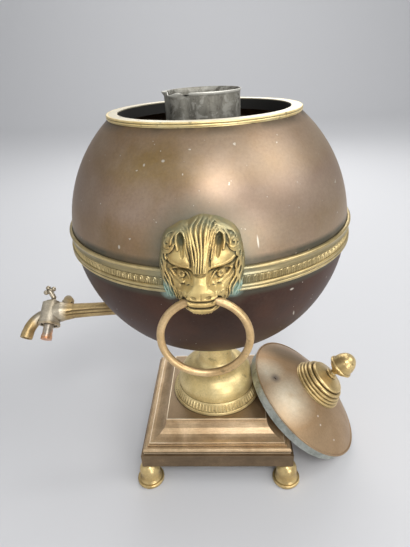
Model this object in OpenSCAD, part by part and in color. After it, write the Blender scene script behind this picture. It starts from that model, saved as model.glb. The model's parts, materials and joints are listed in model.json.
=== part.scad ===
// Globe tea urn on a square footed plinth, heated by an iron dropped into a central tube.
// The origin is on the floor under the globe. +Z is up, the front lion mask faces -Y, the tap points to -X.

/* [Globe] */
// Outer radius of the copper globe
globe_r = 126; // [118:1:136]
// Thickness of the copper sheet
sheet = 1.2; // [0.8:0.1:1.8]
// Height of the lap joint inside the seam
lap_h = 7; // [4:0.5:9]
// Height of the belt round the middle
belt_h = 19; // [14:0.5:20]
// How far the belt's beads stand out from the globe
belt_out = 2.6; // [2:0.1:4]

/* [Mouth] */
// Radius of the open mouth
mouth_r = 73.4; // [66:0.2:78]
// Width of the rim ring's flat top
rim_w = 9.4; // [7:0.2:11]
// Thickness of the rim ring
rim_h = 4; // [3:0.2:6]

/* [Heater] */
// Outer radius of the heater tube
tube_r = 31; // [26:0.5:34]
// Wall of the heater tube
tube_wall = 0.9; // [0.6:0.1:1.5]
// How far the tube stands up past the rim
tube_rise = 14.5; // [8:0.5:17]
// Length of the heater iron's body
iron_len = 140; // [100:5:160]
// Radial room between the iron and the tube
iron_room = 4.5; // [3:0.5:8]

/* [Pedestal] */
// Height of the pedestal, from the plinth to the globe
pedestal_h = 82.2; // [76:0.5:95]
// Radius of the narrow neck
neck_r = 18.5; // [16:0.5:21]
// Radius of the bell at its widest
bell_r = 43; // [39:0.5:46]
// Wall of the spun pedestal
bell_wall = 1.4; // [1:0.1:2]
// Outer radius of the leaf border's flange
border_r = 50.1; // [48:0.2:52]
// Height of the leaf border
border_h = 11.4; // [8:0.2:12]
// Radius of the tie rod
rod_r = 4; // [3:0.5:5]

/* [Plinth] */
// Width of the square plinth across its fascia
plinth_w = 160.4; // [154:0.4:176]
// Height of the upright fascia
fascia_h = 16; // [12:0.5:22]
// Wall of the plinth's sheet
plinth_wall = 1.6; // [1.2:0.1:2]
// Width of the flat top under the pedestal
top_w = 107.8; // [106:0.2:112]
// Height of the thin lip round the flat top
top_band = 2.2; // [1.6:0.2:4]
// Share of the slope's width that the hollow sweep takes
sweep_share = 0.96; // [0.8:0.02:0.98]
// Height of the moulded cover over the fascia
cover_h = 25.8; // [25:0.2:30]

/* [Feet] */
// Height of a foot
foot_h = 26; // [24:0.5:32]
// Radius of the ball
ball_r = 11; // [9:0.5:12]
// Radius of the disc on the floor
disc_r = 14.5; // [12:0.5:16]
// Thickness of that disc
disc_h = 4.3; // [3:0.1:6]
// Distance of a foot's centre from the fascia
foot_inset = 6; // [5.5:0.1:7]

/* [Handles] */
// Radius of the ring handle at the middle of its wire
ring_r = 31.2; // [28:0.2:34]
// Radius of its wire
wire_r = 2.8; // [2.2:0.1:3.4]
// Width of a lion mask
mask_w = 60; // [54:1:64]
// How far the ring's hinge line stands out from the globe
hinge_out = 20; // [18:0.5:23]
// How far the hinge line lies below the middle of the globe
hinge_drop = 3; // [1:0.5:5]

/* [Tap] */
// Height of the tap's shank above the floor
shank_z = 182.5; // [178:0.5:190]
// Distance of the tap's barrel from the middle of the urn
tap_reach = 170.5; // [164:0.5:180]
// Turn of the tap from the -X axis towards the front
tap_turn = 5; // [0:1:8]
// Roll of the tap about its shank
tap_roll = 50; // [0:1:60]
// Outward lean of the tap's plug
plug_lean = 7; // [0:1:14]
// Radius of the water way
bore_r = 4.2; // [3:0.1:4.4]
// Radius of the plug
plug_r = 6; // [5.5:0.1:6.5]
// Outer radius of the barrel
barrel_r = 10.6; // [8:0.2:12]
// Height of the barrel above the shank's axis
barrel_up = 9.5; // [8.5:0.5:11]
// Depth of the barrel below the shank's axis
barrel_down = 11.5; // [10:0.5:14]
// Outward lean of the spout's outlet
outlet_lean = 14; // [0:1:20]
// Length of the plug's tail under the barrel
tail_len = 17; // [12:0.5:18]

/* [Lid] */
// Radius of the lid's brim
brim_r = 74.4; // [73.6:0.2:80]
// Height of the tinned collar under the brim
collar_h = 10.2; // [6:0.2:13]
// Radius of the steam hole
steam_r = 1.3; // [0.8:0.1:2]
// Radius of the finial's base
base_r = 30; // [24:0.5:33]
// Height of the finial from its base to its tip
finial_h = 56.5; // [52:0.5:62]
// Lean of the lid's axis from the upright
lid_lean = 40; // [38:0.5:42]
// Turn of the leaning lid from the +X axis
lid_turn = -5.5; // [-8:0.5:0]
// Sideways shift of the leaning lid along the bell
lid_side = 4.9; // [0:0.1:8]

/* [Clearances] */
// Gap between pieces that only rest by each other
rest_gap = 0.2; // [0.1:0.05:0.4]
// Radial clearance of the plug and of the ring in its mouth
run_gap = 0.06; // [0.03:0.01:0.1]
// Gap of a soldered joint
solder_gap = 0.05; // [0.02:0.01:0.1]

/* [Hidden] */
$fn = 96;
plinth_top = foot_h + fascia_h + cover_h;
rim_lift = 5;
nut_w = 7;
base_h = 22.5;
acorn_h = 27.5;
globe_z = plinth_top + pedestal_h + globe_r;
inner_r = globe_r - sheet;
rim_top = globe_z + sqrt(globe_r * globe_r - pow(mouth_r + rim_w, 2)) + rim_lift;
rim_z = rim_top - rim_h;
rim_foot = 1.5 * rim_h;
rim_r = mouth_r + rim_w;
edge_r = sqrt(globe_r * globe_r - pow(rim_z - globe_z, 2));
half = plinth_w / 2;
foot_x = half - foot_inset;
tube_in = tube_r - tube_wall;
tube_foot = globe_z - sqrt(inner_r * inner_r - tube_r * tube_r);
plate_t = 2;
hinge_y = globe_r + hinge_out;
hinge_z = globe_z - hinge_drop;
stud_r = 2;
nut_h = 3.2;
lid_sphere = globe_r + sheet;
dome_drop = sqrt(lid_sphere * lid_sphere - brim_r * brim_r);
collar_r = mouth_r - 1;
base_z = sqrt(lid_sphere * lid_sphere - base_r * base_r) - dome_drop;

copper = "#8a6a55";
brass = "#c2a45c";
tin = "#9a9b96";
iron = "#4a4643";

// Points along an arc of radius r about (x, y), from angle a to angle b
function arc(x, y, r, a, b, n = 8) = [for (i = [0 : n]) [x + r * cos(a + (b - a) * i / n),
  y + r * sin(a + (b - a) * i / n)]];

// A hexagon nut with its bore, standing on z = 0
module hex_nut(across, bore, h) {
  difference() {
    cylinder(r = across / sqrt(3), h = h, $fn = 6);
    translate([0, 0, -1]) cylinder(r = bore, h = h + 2, $fn = 32);
  }
}

// ---- Globe ----

module upper_shell() color(copper) difference() {
  translate([0, 0, globe_z]) difference() {
    sphere(r = globe_r);
    sphere(r = inner_r);
  }
  translate([0, 0, globe_z - 2 * globe_r]) cylinder(r = 2 * globe_r, h = 2 * globe_r + solder_gap);
  translate([0, 0, rim_z]) cylinder(r = globe_r, h = globe_r);
  mask_stud_holes();
}

module lower_shell() color(copper) difference() {
  union() {
    difference() {
      translate([0, 0, globe_z]) difference() {
        sphere(r = globe_r);
        sphere(r = inner_r);
      }
      translate([0, 0, globe_z]) cylinder(r = 2 * globe_r, h = 2 * globe_r);
    }
    translate([0, 0, globe_z - lap_h]) difference() {
      union() {
        cylinder(r = lap_r(), h = 2 * lap_h);
        cylinder(r = inner_r + 0.2 * sheet, h = lap_h);
      }
      translate([0, 0, -1]) cylinder(r = lap_r() - sheet, h = 2 * lap_h + 2);
    }
  }
  at_shank() cylinder(r = shank_r() + solder_gap, h = globe_r);
  mask_stud_holes();
}

// Outer radius of the lap ring, which fits inside the upper shell all the way up
function lap_r() = sqrt(inner_r * inner_r - lap_h * lap_h) - solder_gap;

module equator_belt() color(brass) translate([0, 0, globe_z]) rotate_extrude() {
  bead_r = belt_h / 14;
  translate([globe_r + solder_gap, -belt_h / 2]) square([belt_out - 1.2, belt_h]);
  for (z = [belt_h / 2 - bead_r, -belt_h / 2 + bead_r, -belt_h / 2 + 3 * bead_r])
    translate([globe_r + belt_out - bead_r, z]) circle(r = bead_r, $fn = 32);
}

module rim_ring() color(brass) rotate_extrude() {
  reed_r = rim_h / 5;
  translate([mouth_r, rim_z]) square([rim_w - reed_r, rim_h]);
  for (i = [0, 1]) translate([rim_r - reed_r, rim_z + rim_h - (2.1 * i + 1) * reed_r])
    circle(r = reed_r, $fn = 32);
  translate([mouth_r, rim_z - rim_foot]) square([edge_r - mouth_r - 2 * sheet - rim_h / 4, rim_foot + 0.5]);
}

// ---- Heater ----

module heater_tube() color(tin) difference() {
  translate([0, 0, tube_foot - 6]) cylinder(r = tube_r, h = rim_top + tube_rise - tube_foot + 6);
  translate([0, 0, tube_foot - 7]) cylinder(r = tube_in, h = rim_top + tube_rise - tube_foot + 20);
  difference() {
    translate([0, 0, globe_z]) sphere(r = 2 * globe_r);
    translate([0, 0, globe_z]) sphere(r = inner_r - solder_gap);
    translate([0, 0, globe_z]) cylinder(r = 2 * tube_r, h = 2 * globe_r);
  }
}

module heater_tube_base() color(tin) translate([0, 0, tube_foot + 1])
  cylinder(r = tube_in - solder_gap, h = plate_t);

iron_r = tube_in - iron_room;
iron_z = tube_foot + 1 + plate_t + rest_gap;

module heater_iron() color(iron) translate([0, 0, iron_z]) difference() {
  union() {
    cylinder(r1 = iron_r - 3, r2 = iron_r, h = 3);
    translate([0, 0, 3]) cylinder(r = iron_r, h = iron_len - 8);
    translate([0, 0, iron_len - 5]) cylinder(r1 = iron_r, r2 = iron_r - 6, h = 5);
  }
  translate([0, 0, iron_len - 14]) cylinder(r = 3 + solder_gap, h = 20, $fn = 48);
}

module heater_iron_eye() color(iron) translate([0, 0, iron_z + iron_len]) {
  eye_r = 9;
  translate([0, 0, -13]) cylinder(r = 3, h = 17, $fn = 48);
  translate([0, 0, 3]) rotate([90, 0, 0]) translate([0, eye_r, 0]) rotate_extrude()
    translate([eye_r, 0]) circle(r = 2.5, $fn = 32);
}

// ---- Pedestal ----

belly_r = 23.4;
belly_z = 14.2;

// Radius of the bell at a height z above the plinth, along its belly
function bell_at(z) = bell_r - belly_r + sqrt(belly_r * belly_r - pow(z - belly_z, 2));

// The bell's outline, drawn in by t, from the plinth up to the seat of the globe
function bell_line(t) = concat(
  [[bell_r - t, 0]],
  arc(bell_r - belly_r, belly_z, belly_r - t, 0, 74, 10),
  arc(neck_r + 8, 44.8, 8 + t, 258, 180, 6),
  arc(neck_r + 22, 60, 22 + t, 180, 128, 8),
  [[neck_r + 22 - (22 + t) * cos(52), pedestal_h + 6]]);

module pedestal() color(brass) difference() {
  translate([0, 0, plinth_top]) rotate_extrude() {
    polygon(concat(bell_line(0), [for (i = [len(bell_line(0)) - 1 : -1 : 0]) bell_line(bell_wall)[i]]));
    translate([neck_r + 8.6, pedestal_h - 2.6]) circle(r = 2, $fn = 32);
  }
  translate([0, 0, globe_z]) sphere(r = globe_r + solder_gap);
}

module leaf_border() color(brass) translate([0, 0, plinth_top]) difference() {
  rotate_extrude() union() {
    polygon([[bell_r - 3, 0], [border_r, 0], [border_r, 0.13 * border_h],
      [border_r - 0.17 * border_h, 0.21 * border_h], [bell_r + 0.13 * border_h, 0.9 * border_h],
      [bell_r + 0.05 * border_h, border_h], [bell_r - 3, border_h]]);
    translate([border_r - 0.14 * border_h, 0.17 * border_h]) circle(r = 0.09 * border_h, $fn = 24);
  }
  translate([0, 0, -1]) cylinder(r = bell_r + solder_gap, h = 30);
}

module tie_rod() color(brass) {
  saddle_r = neck_r - bell_wall - 4;
  difference() {
    union() {
      translate([0, 0, globe_z - globe_r - 9]) cylinder(r1 = rod_r + 2, r2 = saddle_r, h = 6);
      translate([0, 0, globe_z - globe_r - 3]) cylinder(r = saddle_r, h = 6);
      translate([0, 0, foot_h - 7]) cylinder(r = rod_r, h = globe_z - globe_r - foot_h, $fn = 48);
    }
    translate([0, 0, globe_z]) sphere(r = globe_r + solder_gap);
  }
}

module tie_washer() color(brass) translate([0, 0, foot_h - 1.5]) difference() {
  cylinder(r = 3 * rod_r, h = 1.5);
  translate([0, 0, -1]) cylinder(r = rod_r + solder_gap, h = 4, $fn = 48);
}

module tie_nut() color(brass) translate([0, 0, foot_h - 1.5 - 1.2 * rod_r])
  hex_nut(3.4 * rod_r, rod_r + solder_gap, 1.2 * rod_r);

// ---- Plinth ----

// A square moulding: the outline swept along two axes and mitred where they cross
module mitred(depth) intersection() {
  rotate([90, 0, 0]) translate([0, 0, -depth]) linear_extrude(2 * depth) children();
  rotate([90, 0, 90]) translate([0, 0, -depth]) linear_extrude(2 * depth) children();
}

torus_r = 2.6;
step_z = 9.7;
slope_w = half - 8.6 - top_w / 2 - 0.2;
sweep_w = sweep_share * slope_w;
sweep_h = cover_h - top_band - step_z;

// The hollow sweep: a quarter of an oval, from its foot up to the band
function sweep(n = 8) = [for (i = [0 : n]) [top_w / 2 + 0.2 + sweep_w * (1 - sin(90 * i / n)),
  step_z + sweep_h * (1 - cos(90 * i / n))]];

// Outline of one side of the moulded cover, drawn in by t, from its foot to its flat top
function cover_line(t) = concat(
  [[half - 2.8 - t, 0], [half - 2.8 - t, 1.2]],
  arc(half - 2.2 - torus_r, 1.2 + torus_r, torus_r, -70, 90, 8),
  [[half - 6.8, 1.2 + 2 * torus_r], [half - 6.8, 8.2], [half - 8.6, 8.2], [half - 8.6, step_z]],
  sweep(), [[top_w / 2, cover_h - top_band], [top_w / 2, cover_h]]);

// The same outline inside: a plainer one that keeps the wall's thickness
function cover_inside() = concat(
  [[half - 2.8 - plinth_wall, -1], [half - 2.8 - plinth_wall, 1.2 + torus_r],
    [half - 9.6 - plinth_wall, 8.2 - plinth_wall]],
  [for (i = [2, 4, 6]) sweep()[i] - [plinth_wall, plinth_wall]],
  [[top_w / 2 - plinth_wall, cover_h - top_band - plinth_wall],
    [top_w / 2 - plinth_wall, cover_h - plinth_wall]]);

function mirrored(line) = concat(line, [for (i = [len(line) - 1 : -1 : 0]) [-line[i][0], line[i][1]]]);

module plinth_cover() color(copper) translate([0, 0, foot_h + fascia_h]) difference() {
  mitred(plinth_w) polygon(mirrored(cover_line(0)));
  mitred(plinth_w) polygon(mirrored(cover_inside()));
  cylinder(r = rod_r + 1, h = 60, $fn = 48);
}

module plinth_fascia() color(copper) translate([0, 0, foot_h]) difference() {
  translate([-half, -half, 0]) cube([plinth_w, plinth_w, fascia_h]);
  translate([-half + plinth_wall, -half + plinth_wall, -1])
    cube([plinth_w - 2 * plinth_wall, plinth_w - 2 * plinth_wall, fascia_h - plinth_wall + 1]);
  translate([-half + 9, -half + 9, 0]) cube([plinth_w - 18, plinth_w - 18, fascia_h + 1]);
}

module base_plate() color(iron) translate([0, 0, foot_h]) difference() {
  w = plinth_w - 2 * plinth_wall - 2 * solder_gap;
  translate([-w / 2, -w / 2, 0]) cube([w, w, plate_t]);
  translate([0, 0, -1]) cylinder(r = rod_r + solder_gap, h = plate_t + 2, $fn = 48);
  for (x = [-1, 1], y = [-1, 1]) translate([x * foot_x, y * foot_x, -1])
    cylinder(r = stud_r + solder_gap, h = plate_t + 2, $fn = 32);
}

// ---- Feet ----

module foot(x, y) color(brass) translate([x * foot_x, y * foot_x, 0]) {
  rotate_extrude() {
    polygon(concat([[0, 0]], arc(disc_r - 1.2, 1.2, 1.2, -90, 0, 4), [[disc_r, disc_h - 1.4]],
      arc(disc_r - 1, disc_h - 1, 1, 0, 90, 4), [[disc_r - 4, disc_h], [0, disc_h]]));
    intersection() {
      translate([0, foot_h - 0.93 * ball_r]) circle(r = ball_r);
      translate([0, disc_h]) square([disc_r, foot_h - disc_h]);
    }
    translate([0, disc_h]) polygon([[0, -0.5], [disc_r - 2.2, -0.5], [disc_r - 2.2, 0.5],
      [ball_r + 0.8, 1.1],
      [ball_r + 0.1, 2.4], [ball_r - 0.3, 4.4], [ball_r - 0.25, 9.5], [0, 9.5]]);
    translate([0, foot_h - 3.6]) square([6, 3.6]);
  }
  cylinder(r = stud_r, h = foot_h + plate_t + nut_h + 2, $fn = 32);
}

module foot_nuts() color(brass) for (x = [-1, 1], y = [-1, 1])
  translate([x * foot_x, y * foot_x, foot_h + plate_t]) rotate([0, 0, 45 * x * y - 15])
    hex_nut(nut_w, stud_r + solder_gap, nut_h);

// ---- Lion masks and rings ----

mask_z = 16;
stud_up = 15;
stud_down = -6.6;

module mask_stud_holes() for (turn = [0, 180], a = [stud_up, stud_down])
  translate([0, 0, globe_z]) rotate([0, 0, turn]) rotate([90 - a, 0, 0])
    translate([0, 0, globe_r - 12]) cylinder(r = stud_r + 0.4, h = 20, $fn = 32);

module lion_mask(turn) color(brass) rotate([0, 0, turn]) difference() {
  union() {
    intersection() {
      translate([0, 0, globe_z]) sphere(r = globe_r + 7.5);
      union() {
        translate([0, -globe_r + 40, globe_z + mask_z - 1]) rotate([90, 0, 0])
          cylinder(r = mask_w / 2, h = 80);
        translate([0, -globe_r + 40, globe_z + mask_z - 11]) rotate([90, 0, 0])
          cylinder(r = 0.4 * mask_w, h = 80);
      }
    }
    translate([0, -globe_r + 9, globe_z + mask_z + 1]) sphere(r = 0.42 * mask_w);
    for (s = [-1, 1]) {
      translate([s * 12.5, -globe_r - 7.5, globe_z + mask_z + 6]) rotate([0, s * 90, 0]) brow();
      translate([s * 20.5, -globe_r - 2, globe_z + mask_z + 19]) sphere(r = 6.5, $fn = 48);
      translate([s * 7, -hinge_y + 3, hinge_z + 3.5]) sphere(r = 8.5, $fn = 48);
    }
    translate([0, -globe_r - 9, globe_z + mask_z + 8]) rotate([145, 0, 0])
      cylinder(r = 5.2, h = 20, $fn = 48);
    translate([0, -hinge_y + 7, hinge_z + 1]) sphere(r = 13.5, $fn = 64);
    translate([0, -hinge_y + 5, hinge_z - 7]) sphere(r = 8.5, $fn = 48);
  }
  translate([0, 0, globe_z]) sphere(r = globe_r + solder_gap);
  translate([0, 0, globe_z - belt_h / 2 - rest_gap])
    cylinder(r = globe_r + belt_out + rest_gap, h = belt_h + 2 * rest_gap);
  translate([0, -globe_r + 13, globe_z + mask_z + 2]) sphere(r = 0.32 * mask_w, $fn = 64);
  translate([0, -hinge_y, hinge_z]) mouth_bore();
}

// A brow: a blunt roll that thins to its outer end
module brow() {
  translate([0, 0, -12.5]) cylinder(r = 7.5, h = 17);
  translate([0, 0, 4.5]) cylinder(r1 = 7.5, r2 = 3, h = 5);
}

// The hole through the mouth: it widens towards both cheeks as the bent wire does
module mouth_bore() translate([0, 0, 0]) rotate([0, 90, 0]) rotate_extrude($fn = 64) {
  n = 6;
  reach = 18;
  room = 0.1 + run_gap + ring_r - sqrt(ring_r * ring_r - pow(reach / n, 2));
  line = [for (i = [-n : n]) if (i != 0) let (x = reach * i / n)
    [wire_r + max(room, 0.25 + run_gap + ring_r - sqrt(ring_r * ring_r - x * x)), x]];
  polygon(concat([[0, -reach]], line, [[0, reach]]));
}

module mask_studs(turn) rotate([0, 0, turn]) translate([0, 0, globe_z]) for (a = [stud_up, stud_down])
  rotate([90 - a, 0, 0]) translate([0, 0, globe_r - 9]) cylinder(r = stud_r, h = 14, $fn = 32);

module lion_mask_front() {
  lion_mask(0);
  color(brass) mask_studs(0);
}

module lion_mask_back() {
  lion_mask(180);
  color(brass) mask_studs(180);
}

module mask_nuts() color(brass) for (turn = [0, 180], a = [stud_up, stud_down])
  translate([0, 0, globe_z]) rotate([0, 0, turn]) rotate([90 - a, 0, 0])
    translate([0, 0, inner_r - 0.2 - nut_h - lap_room(a)]) hex_nut(nut_w, stud_r + solder_gap, nut_h);

// The lower nuts sit further in, clear of the lap ring's curve
function lap_room(a) = a < 0 ? sheet + 1 : 0.2;

module ring_handle(turn) color(brass) rotate([0, 0, turn])
  translate([0, -hinge_y, hinge_z - ring_r]) rotate([90, 0, 0]) rotate_extrude()
    translate([ring_r, 0]) circle(r = wire_r, $fn = 32);

module ring_handle_front() ring_handle(0);

module ring_handle_back() ring_handle(180);

// ---- Tap ----

function shank_r() = bore_r + 2.9;
shank_in = 66;
shank_grow = 1.3;

// Along the shank: local +Z runs outwards from the middle of the urn
module at_shank() rotate([0, 0, tap_turn]) translate([0, 0, shank_z]) rotate([0, -90, 0]) children();

// The tap's own place: local -X runs outwards, rolled about the shank
module at_tap() rotate([0, 0, tap_turn]) translate([-tap_reach, 0, shank_z])
  rotate([-tap_roll, 0, 0]) children();

// The plug's place: local +Z runs up the plug
module at_plug() at_tap() rotate([0, plug_lean, 0]) children();

module tap_shank() color(brass) at_shank() difference() {
  flute_r = 1.1;
  out = tap_reach - 0.4 * barrel_r;
  flare_z = tap_reach - barrel_r - 13;
  flare_r = shank_r() + shank_grow;
  union() {
    translate([0, 0, shank_in]) cylinder(r = shank_r(), h = globe_r - shank_in);
    translate([0, 0, globe_r]) cylinder(r1 = shank_r(), r2 = shank_r() + shank_grow, h = out - globe_r);
    translate([0, 0, flare_z]) rotate_extrude() polygon([[0, 0], [flare_r - 0.4, 0],
      [flare_r + 0.4, 5], [flare_r + 1.1, 9],
      [flare_r + 2.1, 12.5], [flare_r + 2.1, out - flare_z], [0, out - flare_z]]);
    at_barrel_from_shank() scroll_leaf();
  }
  translate([0, 0, shank_in - 1]) cylinder(r = bore_r, h = tap_reach, $fn = 48);
  for (a = [0, 28, 180, 208]) rotate([0, 0, a + tap_roll]) translate([0, shank_r() + shank_grow, globe_r - 14])
    rotate([-1.6, 0, 0]) cylinder(r = flute_r, h = flare_z - globe_r + 14, $fn = 24);
  at_barrel_from_shank() cylinder(r = barrel_r + solder_gap, h = 60, center = true);
}

// The barrel's axis seen from the shank's frame
module at_barrel_from_shank() translate([0, 0, tap_reach]) rotate([0, 90, 0]) rotate([-tap_roll, 0, 0])
  rotate([0, plug_lean, 0]) children();

// The curled leaf that rises behind the barrel
module scroll_leaf() {
  curl_r = 4.6;
  leaf_x = barrel_r - 1;
  curl_x = barrel_r + curl_r + 1;
  curl_z = barrel_up + 4.5;
  translate([curl_x, 0, curl_z]) rotate([90, 0, 0]) cylinder(r = curl_r, h = 7, center = true);
  rotate([90, 0, 0]) linear_extrude(6.4, center = true) polygon([[leaf_x, barrel_up - 5],
    [leaf_x, barrel_up + 2.4], [curl_x - 2, curl_z + 0.7 * curl_r], [curl_x + 1, curl_z], [curl_x, barrel_up - 4]]);
}

module tap_saddle() color(brass) intersection() {
  translate([0, 0, globe_z]) difference() {
    sphere(r = globe_r + 1.6);
    sphere(r = globe_r + solder_gap);
  }
  at_shank() difference() {
    translate([0, 0, shank_in]) cylinder(r = 2 * shank_r(), h = 60);
    cylinder(r = shank_r() + solder_gap, h = 200);
  }
}

bend_r = 25.5;
spout_r = bore_r + 1.7;
bend_from = 10;
bend_to = 90 - outlet_lean;
barrel_h = barrel_up + barrel_down;
apron_h = 2.6;
bend_x = -2.4;
bend_z = -1.4;
spout_len = 6;

// The spout's path: a bend in the local XZ plane and a slightly wider straight to the outlet
module spout_path(r, extra) {
  translate([bend_x + bend_r * sin(bend_from), 0, bend_z - bend_r * cos(bend_from)]) rotate([90, 0, 0])
    rotate([0, 0, 90 + bend_from]) rotate_extrude(angle = bend_to - bend_from)
      translate([bend_r, 0]) circle(r = r);
  translate(bend_end()) rotate([0, -90 - bend_to, 0]) translate([0, 0, -0.6])
    cylinder(r = r + 0.25, h = spout_len + 0.6 + extra);
}

// Where the bend ends and the outlet's straight begins
function bend_end() = [bend_x + bend_r * (sin(bend_from) - sin(bend_to)), 0,
  bend_z - bend_r * (cos(bend_from) - cos(bend_to))];

module tap_body() color(brass) difference() {
  union() {
    at_plug() translate([0, 0, -barrel_down - apron_h]) cylinder(r = barrel_r, h = barrel_h + apron_h);
    at_plug() translate([0, 0, -barrel_down - apron_h]) cylinder(r = barrel_r + 0.7, h = 2.2);
    at_tap() spout_path(spout_r, 0);
  }
  at_plug() cylinder(r = plug_r + run_gap, h = 3 * barrel_h, center = true, $fn = 64);
  at_plug() translate([0, 0, -barrel_down - apron_h - 1])
    cylinder(r = plug_r + 2.4, h = apron_h + 1, $fn = 64);
  at_tap() spout_path(bore_r - 0.25, 1);
  at_tap() rotate([0, 90, 0]) cylinder(r = bore_r, h = 30, $fn = 48);
}

tail_r = 3.4;
washer_t = 1.4;
key_r = 2;

module tap_plug() color(brass) at_plug() difference() {
  union() {
    translate([0, 0, -barrel_down - tail_len + 4]) cylinder(r = tail_r, h = tail_len, $fn = 48);
    translate([0, 0, -barrel_down]) cylinder(r = plug_r, h = barrel_h + rest_gap, $fn = 64);
    translate([0, 0, barrel_up + rest_gap]) cylinder(r = plug_r + 1.6, h = 1.8);
    translate([0, 0, barrel_up + rest_gap + 1.8]) cylinder(r1 = plug_r, r2 = 3, h = 2.4);
  }
  rotate([90, 0, 0]) cylinder(r = bore_r - 0.6, h = 4 * plug_r, center = true, $fn = 48);
  translate([0, 0, barrel_up - 2]) cylinder(r = key_r + solder_gap, h = 20, $fn = 32);
}

module plug_washer() color(brass) at_plug() translate([0, 0, -barrel_down - rest_gap - washer_t])
  difference() {
    cylinder(r = plug_r + 0.8, h = washer_t);
    translate([0, 0, -1]) cylinder(r = tail_r + solder_gap, h = 4, $fn = 48);
  }

module plug_cap() color("#b87a55") at_plug()
  translate([0, 0, -barrel_down - rest_gap - washer_t - tail_len + 1])
  difference() {
    union() {
      cylinder(r = 5, h = tail_len - 1);
      cylinder(r = 5.6, h = 4);
    }
    translate([0, 0, 2.6]) cylinder(r = tail_r + solder_gap, h = tail_len + 5, $fn = 48);
  }

module tap_key() color(brass) at_plug() translate([0, 0, barrel_up - 1.8]) {
  lobe_r = 2.6;
  stem_len = 8;
  cylinder(r = key_r, h = 8.9, $fn = 32);
  translate([0, 0, 8.1]) rotate([16, -36, 0]) {
    cylinder(r = 2.7, h = stem_len, $fn = 32);
    translate([0, 0, stem_len]) {
      sphere(r = 3.3, $fn = 32);
      for (a = [-75, 0, 75]) rotate([0, a, 20]) translate([0, 0, 4.4]) sphere(r = lobe_r, $fn = 32);
    }
  }
}

// ---- Lid ----

// Where the lid leans: its collar stands on the floor and rests against the bell
top_edge_z = 2 * collar_r * sin(lid_lean) + rest_gap;
lean_out = bell_at(top_edge_z - plinth_top) + rest_gap + collar_r * cos(lid_lean)
  - (collar_r * sin(lid_lean) + rest_gap) * tan(lid_lean);

module at_lid() rotate([0, 0, lid_turn]) translate([lean_out, lid_side, 0]) rotate([0, lid_lean, 0])
  translate([0, 0, lid_up()]) children();

// Distance along the lid's own axis that lifts its lowest edge just clear of the floor
function lid_up() = (collar_r * sin(lid_lean) + rest_gap) / cos(lid_lean) + collar_h;

module lid_dome() color(copper) at_lid() difference() {
  union() {
    intersection() {
      translate([0, 0, -dome_drop]) sphere(r = lid_sphere);
      cylinder(r = brim_r, h = lid_sphere);
    }
    rotate_extrude() translate([brim_r - 1, 0.9]) circle(r = 0.9, $fn = 24);
  }
  translate([0, 0, -dome_drop]) sphere(r = lid_sphere - sheet);
  translate([0, 0, base_z]) cylinder(r = 3 + solder_gap, h = 40, $fn = 32);
  rotate([0, 0, steam_turn]) translate([steam_x, 0, 0]) cylinder(r = steam_r, h = 60, $fn = 24);
}

steam_x = 58.6;
steam_turn = 202.7;

module lid_collar() color(tin) at_lid() rotate_extrude() {
  translate([collar_r - 1, -collar_h]) square([1, collar_h]);
  translate([collar_r - 1, -1 - solder_gap]) square([brim_r - collar_r - 0.4, 1]);
}

module finial_base() color(brass) at_lid() difference() {
  translate([0, 0, base_z]) rotate_extrude() polygon(concat([[0, 0.4], [base_r, 0.4]],
    arc(base_r - 1.4, 2.2, 1.4, -60, 90, 5), arc(base_r - 3.4, 5.4, 1.6, -60, 90, 5),
    arc(base_r - 5.2, 8.7, 1.6, -60, 90, 5),
    arc(base_r - 8, 12.6, 2.3, -60, 90, 6), arc(base_r - 11.8, 16.4, 2.5, -60, 90, 6),
    [[0.5 * base_r, 0.87 * base_h], [8, 0.97 * base_h], [5, base_h], [0, base_h]]));
  translate([0, 0, -dome_drop]) sphere(r = lid_sphere + solder_gap);
  cylinder(r = 3 + solder_gap, h = 60, $fn = 32);
}

module finial_spindle() color(brass) at_lid() translate([0, 0, base_z]) {
  top = finial_h - acorn_h;
  stem_h = top - base_h;
  translate([0, 0, -6]) cylinder(r = 3, h = base_h + 6, $fn = 32);
  translate([0, 0, base_h]) rotate_extrude() polygon(concat([[0, 0], [6.4, 0]], arc(5.4, 1.2, 1.2, -60, 90, 5),
    [[4, 0.45 * stem_h], [3.5, 0.75 * stem_h], [4.2, stem_h], [0, stem_h]]));
  translate([0, 0, top]) cylinder(r = 2, h = 8, $fn = 32);
}

module finial_acorn() color(brass) at_lid() translate([0, 0, base_z + finial_h - acorn_h]) difference() {
  rotate_extrude() polygon(concat([[0, 0], [4.6, 0], [6.4, 1.4], [10, 4], [12.4, 6.6]],
    arc(12.5, 8.8, 1.7, -60, 90, 6),
    [for (i = [0 : 8]) [12.4 * cos(i * 11.25), 11 + (acorn_h - 11) * sin(i * 11.25)]]));
  translate([0, 0, -1]) cylinder(r = 2 + solder_gap, h = 9.2, $fn = 32);
}

module finial_nut() color(brass) at_lid()
  translate([0, 0, sqrt(pow(lid_sphere - sheet, 2) - 9) - dome_drop - nut_h - 0.3])
    hex_nut(10, 3 + solder_gap, nut_h);

upper_shell();
lower_shell();
equator_belt();
rim_ring();
heater_tube();
heater_tube_base();
heater_iron();
heater_iron_eye();
pedestal();
leaf_border();
tie_rod();
tie_washer();
tie_nut();
plinth_cover();
plinth_fascia();
base_plate();
foot(-1, -1);  // foot_front_left
foot(1, -1);  // foot_front_right
foot(-1, 1);  // foot_back_left
foot(1, 1);  // foot_back_right
foot_nuts();
lion_mask_front();
lion_mask_back();
mask_nuts();
ring_handle_front();
ring_handle_back();
tap_shank();
tap_saddle();
tap_body();
tap_plug();
plug_washer();
plug_cap();
tap_key();
lid_dome();
lid_collar();
finial_base();
finial_spindle();
finial_acorn();
finial_nut();
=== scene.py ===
import json
import math
import numpy as np

import bpy
from mathutils import Matrix, Vector


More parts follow.
